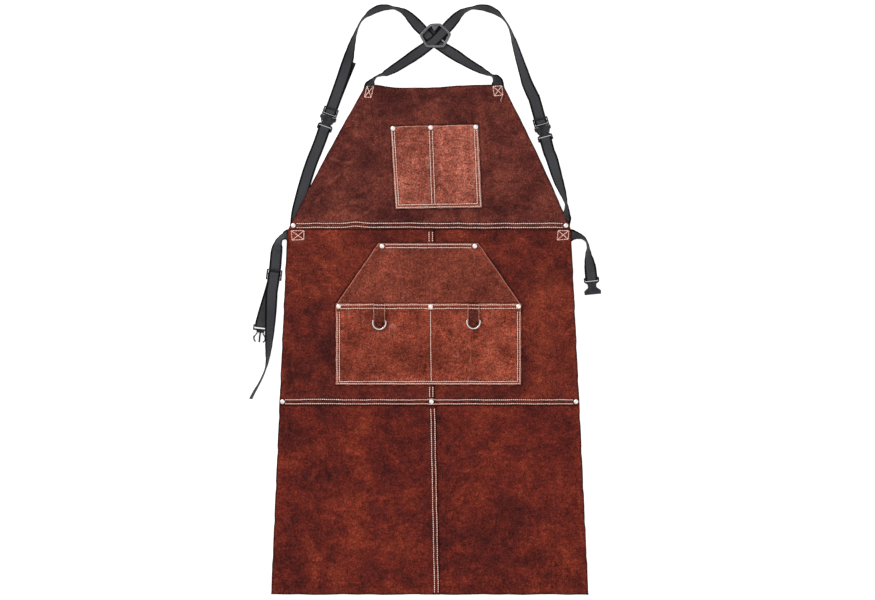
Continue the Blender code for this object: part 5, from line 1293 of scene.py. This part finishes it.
def side_strap(name, place, route, bar_s=BAR_S, tail=26.0):
    wrap = [(bar_s + tail, 0.8), (bar_s + 10, 0.9), (bar_s + 2.2, 1.2), (bar_s - 1.2, 1.3),
            (bar_s - 3.1, 1.7), (bar_s - 4.2, 2.9), (bar_s - 4.3, 4.6), (bar_s - 3.8, 6.3),
            (bar_s - 2.4, 7.5), (bar_s - 0.5, 7.8), (bar_s + 3.0, 7.7), (bar_s + 9.0, 5.6), (bar_s + 16.0, 3.6)]
    rows = place.threaded(wrap)
    start = place.at(bar_s + 28, 0, 0)
    rows += laid([(start.x, start.y, 1.75, 0)] + route)
    rows = chaikin(as_arrays(rows), 2)
    return strap(name + "_web", rows, 0.0, name)


side_strap("side_strap_left", BUCKLE_L, [(-228.6, 312, 1.2, 0), (-238.0, 289, 0.2, 0), (-250.5, 251, 0, 0), (-262.0, 209, 0, 0),
                                         (-268.6, 180, 0, 0), (-271.5, 150.5, 0, 0)])
side_strap("side_strap_right", BUCKLE_R, [(264, 296, 1.2, 8), (271, 272, 0.2, 24), (277.5, 250, 0, 38), (285, 229, 0, 56),
                                          (290.5, 213, 0, 72), (293.4, 201.5, 0, 82), (294.6, 192, 0, 74), (294.4, 181, 0, 58),
                                          (292.6, 171, 0, 16), (290.5, 162, 0, 0), (289.0, 150.5, 0, 0)])

WR = [(283, 135.5, 0, 0), (299, 135.5, 0, 0), (305.5, 135.5, 0, 4), (309, 135.4, 0, 28), (313.5, 134.9, 0, 48),
      (320.5, 133.4, 0, 62), (329.5, 129.6, 0, 76), (336.5, 121.5, 0, 86), (339.5, 110, 0, 82), (340, 96, 0, 64),
      (342.2, 81, 0.4, 40), (344.3, 68, 1.6, 16)]
p = SOCKET_W.at(BAR_W + 14, 0, 0)
first = laid(WR + [(p.x, p.y, 3.4, 0)])
second = SOCKET_W.threaded([(BAR_W + 8, 6.0), (BAR_W + 3.0, 7.7), (BAR_W - 0.5, 7.8), (BAR_W - 2.4, 7.5),
                            (BAR_W - 3.8, 6.3), (BAR_W - 4.3, 4.6), (BAR_W - 4.2, 2.9), (BAR_W - 3.1, 1.7),
                            (BAR_W - 1.2, 1.3), (BAR_W + 2.2, 1.2), (BAR_W + 8, 0.9), (BAR_W + 16, 0.8)])
rows = chaikin(as_arrays(first + [(b, a) for a, b in second]), 2)
strap("waist_strap_right_web", rows, 0.0, "waist_strap_right")

WL = [(-259, 135.5, 0, 0), (-280, 135.5, 0, 0), (-287.5, 135.4, 0, 0), (-291.8, 134.8, 0, 32), (-296.6, 132.6, 0, 56),
      (-302.5, 128.6, 0, 60), (-307.4, 120.2, 0, 48), (-309.8, 109.5, 0, 24), (-312, 98, 0, 8)]
a = TRIGLIDE.at(-22, 0, 0)
rows = laid(WL + [(a.x, a.y, 0, 0)])
run = []
for sv in (-12, 0, 14):
    q = TRIGLIDE.at(sv, 0, 0)
    run.append((q.x, q.y, 0, 0))
for f in (0.40, 0.62, 0.84):
    q = TRIGLIDE.at(14, 0, 0).lerp(INSERT_W.at(-6, 0, 0), f)
    run.append((q.x, q.y, 0, 0))
q = INSERT_W.at(-8, 0, 0)
run.append((q.x, q.y, 0.0, 0))
rows += laid(run, 1)
n_under = len(rows)
rows += INSERT_W.threaded([(BAR_I - 3.6, 0.9), (BAR_I, 1.1), (BAR_I + 2.6, 1.6), (BAR_I + 3.6, 3.2), (BAR_I + 3.3, 5.4),
                           (BAR_I + 1.4, 6.9), (BAR_I - 1.2, 6.7), (BAR_I - 4.4, 4.6), (BAR_I - 8.0, 3.0)])
for f in (0.80, 0.60, 0.40, 0.20):
    v = TRIGLIDE.at(14, 0, 0).lerp(INSERT_W.at(-8, 0, 0), f)
    d = (INSERT_W.at(-8, 0, 0) - TRIGLIDE.at(14, 0, 0)).normalized()
    w = Vector((-d.y, d.x, 0)) * (WEB / 2)
    c = Vector((v.x, v.y, 2.45))
    rows.append((c + w, c - w))
n_bar = len(rows) + 3
rows += TRIGLIDE.threaded([(10, 2.4), (4, 2.3), (-1.6, 2.35), (-4.0, 3.2), (-4.6, 4.6), (-3.8, 6.0),
                           (-1.4, 6.8), (3.0, 7.0), (10.0, 7.2), (17, 7.6)])
rows += laid([(-321.4, 17, 7.2, -4), (-322.4, -10, 6.0, -16), (-323.6, -36, 3.2, -30), (-325.2, -62, 0.8, -42),
              (-327.0, -92, 0, -58), (-328.4, -110, 0, -68), (-330.0, -127, 0, -80), (-334.5, -146, 0, -88),
              (-345, -170, 0, -86), (-357, -191, 0, -82), (-364.8, -206.5, 0, -80)])
rows = as_arrays(rows)
marks = rows[n_under + 3].mean(0), rows[n_bar].mean(0)
rows = chaikin(rows, 2)
cc = rows.mean(1)
ia = int(np.argmin(np.linalg.norm(cc - marks[0], axis=1)))
ib = int(np.argmin(np.linalg.norm(cc - marks[1], axis=1)))
_, v = strap("waist_strap_left_sewn", rows[:ia + 1], 0.0, "waist_strap_left")
_, v = strap("waist_strap_left_return", rows[ia:ib + 1], v, "waist_strap_left",
             blend=("root", "waist_triglide", (-336, -30, 3), (-321, 28, 3)))
strap("waist_strap_left_tail", rows[ib:], v, "waist_strap_left",
      blend=("waist_triglide", "root", (-321.5, 20, 7), (-326, -70, 7)))


# ------------------------------------------------------------------ moulded plastics
def refined(node, body, offset=0.42, mat=PLASTIC, angle=28):
    """A copy of the plain part with its edges rounded off as a moulding's are."""
    src = frame["nodes"][node]
    bm = bmesh.new()
    bm.from_mesh(src.data)
    bmesh.ops.remove_doubles(bm, verts=bm.verts, dist=2e-5)
    bmesh.ops.dissolve_limit(bm, angle_limit=math.radians(2), verts=bm.verts, edges=bm.edges)
    sharp = [e for e in bm.edges if len(e.link_faces) == 2 and e.calc_face_angle(0) > math.radians(angle)]
    bmesh.ops.bevel(bm, geom=sharp, offset=offset * MM, segments=2, profile=0.6, affect="EDGES", clamp_overlap=True)
    bmesh.ops.recalc_face_normals(bm, faces=bm.faces)
    me = bpy.data.meshes.new(node + "_moulded")
    bm.to_mesh(me)
    bm.free()
    me.shade_smooth()
    me.set_sharp_from_angle(angle=math.radians(38))
    me.materials.clear()
    me.materials.append(mat)
    ob = bpy.data.objects.new(node + "_moulded", me)
    scene.collection.objects.link(ob)
    ob.matrix_world = src.matrix_world.copy()
    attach(ob, body)
    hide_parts(node)
    return ob


body_of_node = {n: body_of(o)[0] for n, o in frame["nodes"].items()}
for n in ("left_buckle_socket", "right_buckle_socket", "waist_socket", "left_buckle_insert", "right_buckle_insert",
          "waist_insert", "waist_triglide", "cross_slider"):
    if n != "cross_slider":
        refined(n, body_of_node[n], mat=PLASTIC_SOCKET_W if n == "waist_socket" else PLASTIC_SOCKET if "socket" in n else PLASTIC_INSERT_W if n == "waist_insert"
                else PLASTIC_INSERT if "insert" in n else PLASTIC)
for n in ("left_buckle_prong_a", "left_buckle_prong_b", "right_buckle_prong_a", "right_buckle_prong_b",
          "waist_prong_a", "waist_prong_b"):
    refined(n, body_of_node[n], 0.35)


# the slider: base plate, grooved front ring, a tongue between the straps, pegs
HEXA = np.array([(-34.1, 1.5), (-23.2, -18.6), (-18.2, -25.5), (16.9, -25.5), (20.9, -21.5), (34.3, 3.3), (10.9, 25.5), (-11.1, 24.5)])


def inward(P, d):
    n1 = np.roll(P, -1, 0) - P
    n1 /= np.linalg.norm(n1, axis=1)[:, None]
    n0 = np.roll(n1, 1, 0)
    a, b = np.stack([-n0[:, 1], n0[:, 0]], 1), np.stack([-n1[:, 1], n1[:, 0]], 1)
    m = a + b
    m /= np.linalg.norm(m, axis=1)[:, None]
    return P + m * (d / np.maximum(0.4, (m * a).sum(1)))[:, None]


def softened(P, cuts=(0.09, 0.22)):
    for c in cuts:
        Q = np.roll(P, -1, 0)
        P = np.stack([P * (1 - c) + Q * c, P * c + Q * (1 - c)], 1).reshape(-1, 2)
    return P


class Shell:
    def __init__(self):
        self.V, self.F, self.shine = [], [], []

    def rings(self, loops, close):
        """Loops of (outline, z, shine); closed on itself or capped at both ends."""
        o, n = len(self.V), len(loops[0][0])
        for P, z, sh in loops:
            self.V += [(q[0] + 20.5, q[1] + 553.0, z) for q in P]
            self.shine += [sh] * n
        m = len(loops)
        for j in range(m if close else m - 1):
            for q in range(n):
                a, b = o + j * n, o + ((j + 1) % m) * n
                self.F.append((a + q, a + (q + 1) % n, b + (q + 1) % n, b + q))
        if not close:
            self.F += [tuple(range(o, o + n))[::-1], tuple(range(o + (m - 1) * n, o + m * n))]

    def peg(self, pts, z0, z1, shine, soft=(0.2, 0.25)):
        P = np.array(pts, float)
        self.rings([(softened(P, soft), z0, 0.0), (softened(P, soft), z1 - 0.5, 0.1),
                    (softened(inward(P, 0.45), soft), z1, shine)], False)


sh = Shell()
ring_of = lambda d: softened(inward(HEXA, d))
# the third number of each ring loop is its painted highlight: pale on the two ridges, less in the groove between
sh.rings([(ring_of(d), z, g) for d, z, g in ((0.25, 6.2, 0.0), (0.0, 6.8, 0.0), (0.0, 7.7, 0.05), (0.5, 8.35, 0.06), (1.1, 8.6, 0.42),
                                             (2.0, 8.6, 0.32), (2.45, 8.1, 0.10), (3.05, 8.1, 0.10), (3.5, 8.6, 0.42), (4.3, 8.5, 0.20),
                                             (5.1, 7.9, 0.02), (5.2, 7.0, 0.0), (4.9, 6.2, 0.0))], True)
sh.rings([(ring_of(d), z, 0.0) for d, z in ((1.0, 0.2), (0.4, 0.5), (0.4, 1.4), (1.0, 1.7))], False)
# the last number of each peg is the painted highlight on its top
sh.peg([(-10.5, 23.0), (-1.7, 8.6), (9.8, 23.0)], 1.0, 7.4, 0.20, (0.08,))
sh.peg([(-11.6, 20.6), (-9.6, 18.4), (-7.6, 20.2), (-9.6, 22.6)], 1.0, 8.2, 0.7)
sh.peg([(-33.0, 1.4), (-29.0, -4.6), (-26.0, -0.2), (-28.6, 5.0)], 1.0, 7.6, 0.06)
sh.peg([(32.4, 3.0), (21.8, -4.2), (26.6, -12.0)], 1.0, 7.2, 0.16, (0.08,))
sh.peg([(12.2, -9.4), (14.6, -12.6), (20.8, -17.6), (20.0, -13.4), (15.4, -8.6)], 5.4, 8.5, 0.45)
make("cross_slider_moulded", sh.V, sh.F, PLASTIC, "cross_slider", "cross_slider", True, {"shine": sh.shine}, angle=35)

# ------------------------------------------------------------------ D-rings
RING_R, WIRE = 13.6, 1.4


def d_ring(name, x, y, z, tilt):
    pts = []
    for k in range(9):
        pts.append((-(RING_R - 1.6) + (2 * RING_R - 3.2) * k / 8, 0.0))
    for a in np.radians([60, 30]):
        pts.append((RING_R - 1.6 + 1.6 * math.cos(a), -1.6 + 1.6 * math.sin(a)))
    pts.append((RING_R, -2.6))
    for k in range(0, 33):
        a = math.pi * k / 32
        pts.append((RING_R * math.cos(a), -4.2 - RING_R * math.sin(a)))
    pts.append((-RING_R, -2.6))
    for a in np.radians([150, 120]):
        pts.append((-RING_R + 1.6 + 1.6 * math.cos(a), -1.6 + 1.6 * math.sin(a)))
    p = np.array(pts)
    n, N = len(p), 14
    V, F = [], []
    for k in range(n):
        t = p[(k + 1) % n] - p[k - 1]
        t /= max(np.linalg.norm(t), 1e-9)
        nx = np.array([-t[1], t[0]])
        for q in range(N):
            a = 2 * math.pi * q / N
            o = p[k] + nx * math.cos(a) * WIRE
            V.append((o[0], o[1], math.sin(a) * WIRE))
    for k in range(n):
        for q in range(N):
            F.append((k * N + q, k * N + (q + 1) % N, ((k + 1) % n) * N + (q + 1) % N, ((k + 1) % n) * N + q))
    M = Matrix.Translation((x, y, z)) @ Matrix.Rotation(math.radians(tilt), 4, "X")
    V = [tuple(M @ Vector(v)) for v in V]
    return make(name + "_wire", V, F, NICKEL, name, name, True)


d_ring("d_ring_left", -96.5, -43.5, TAB_Z + 2.2, 7.0)
d_ring("d_ring_right", 100.0, -42.0, TAB_Z + 2.2, 7.0)
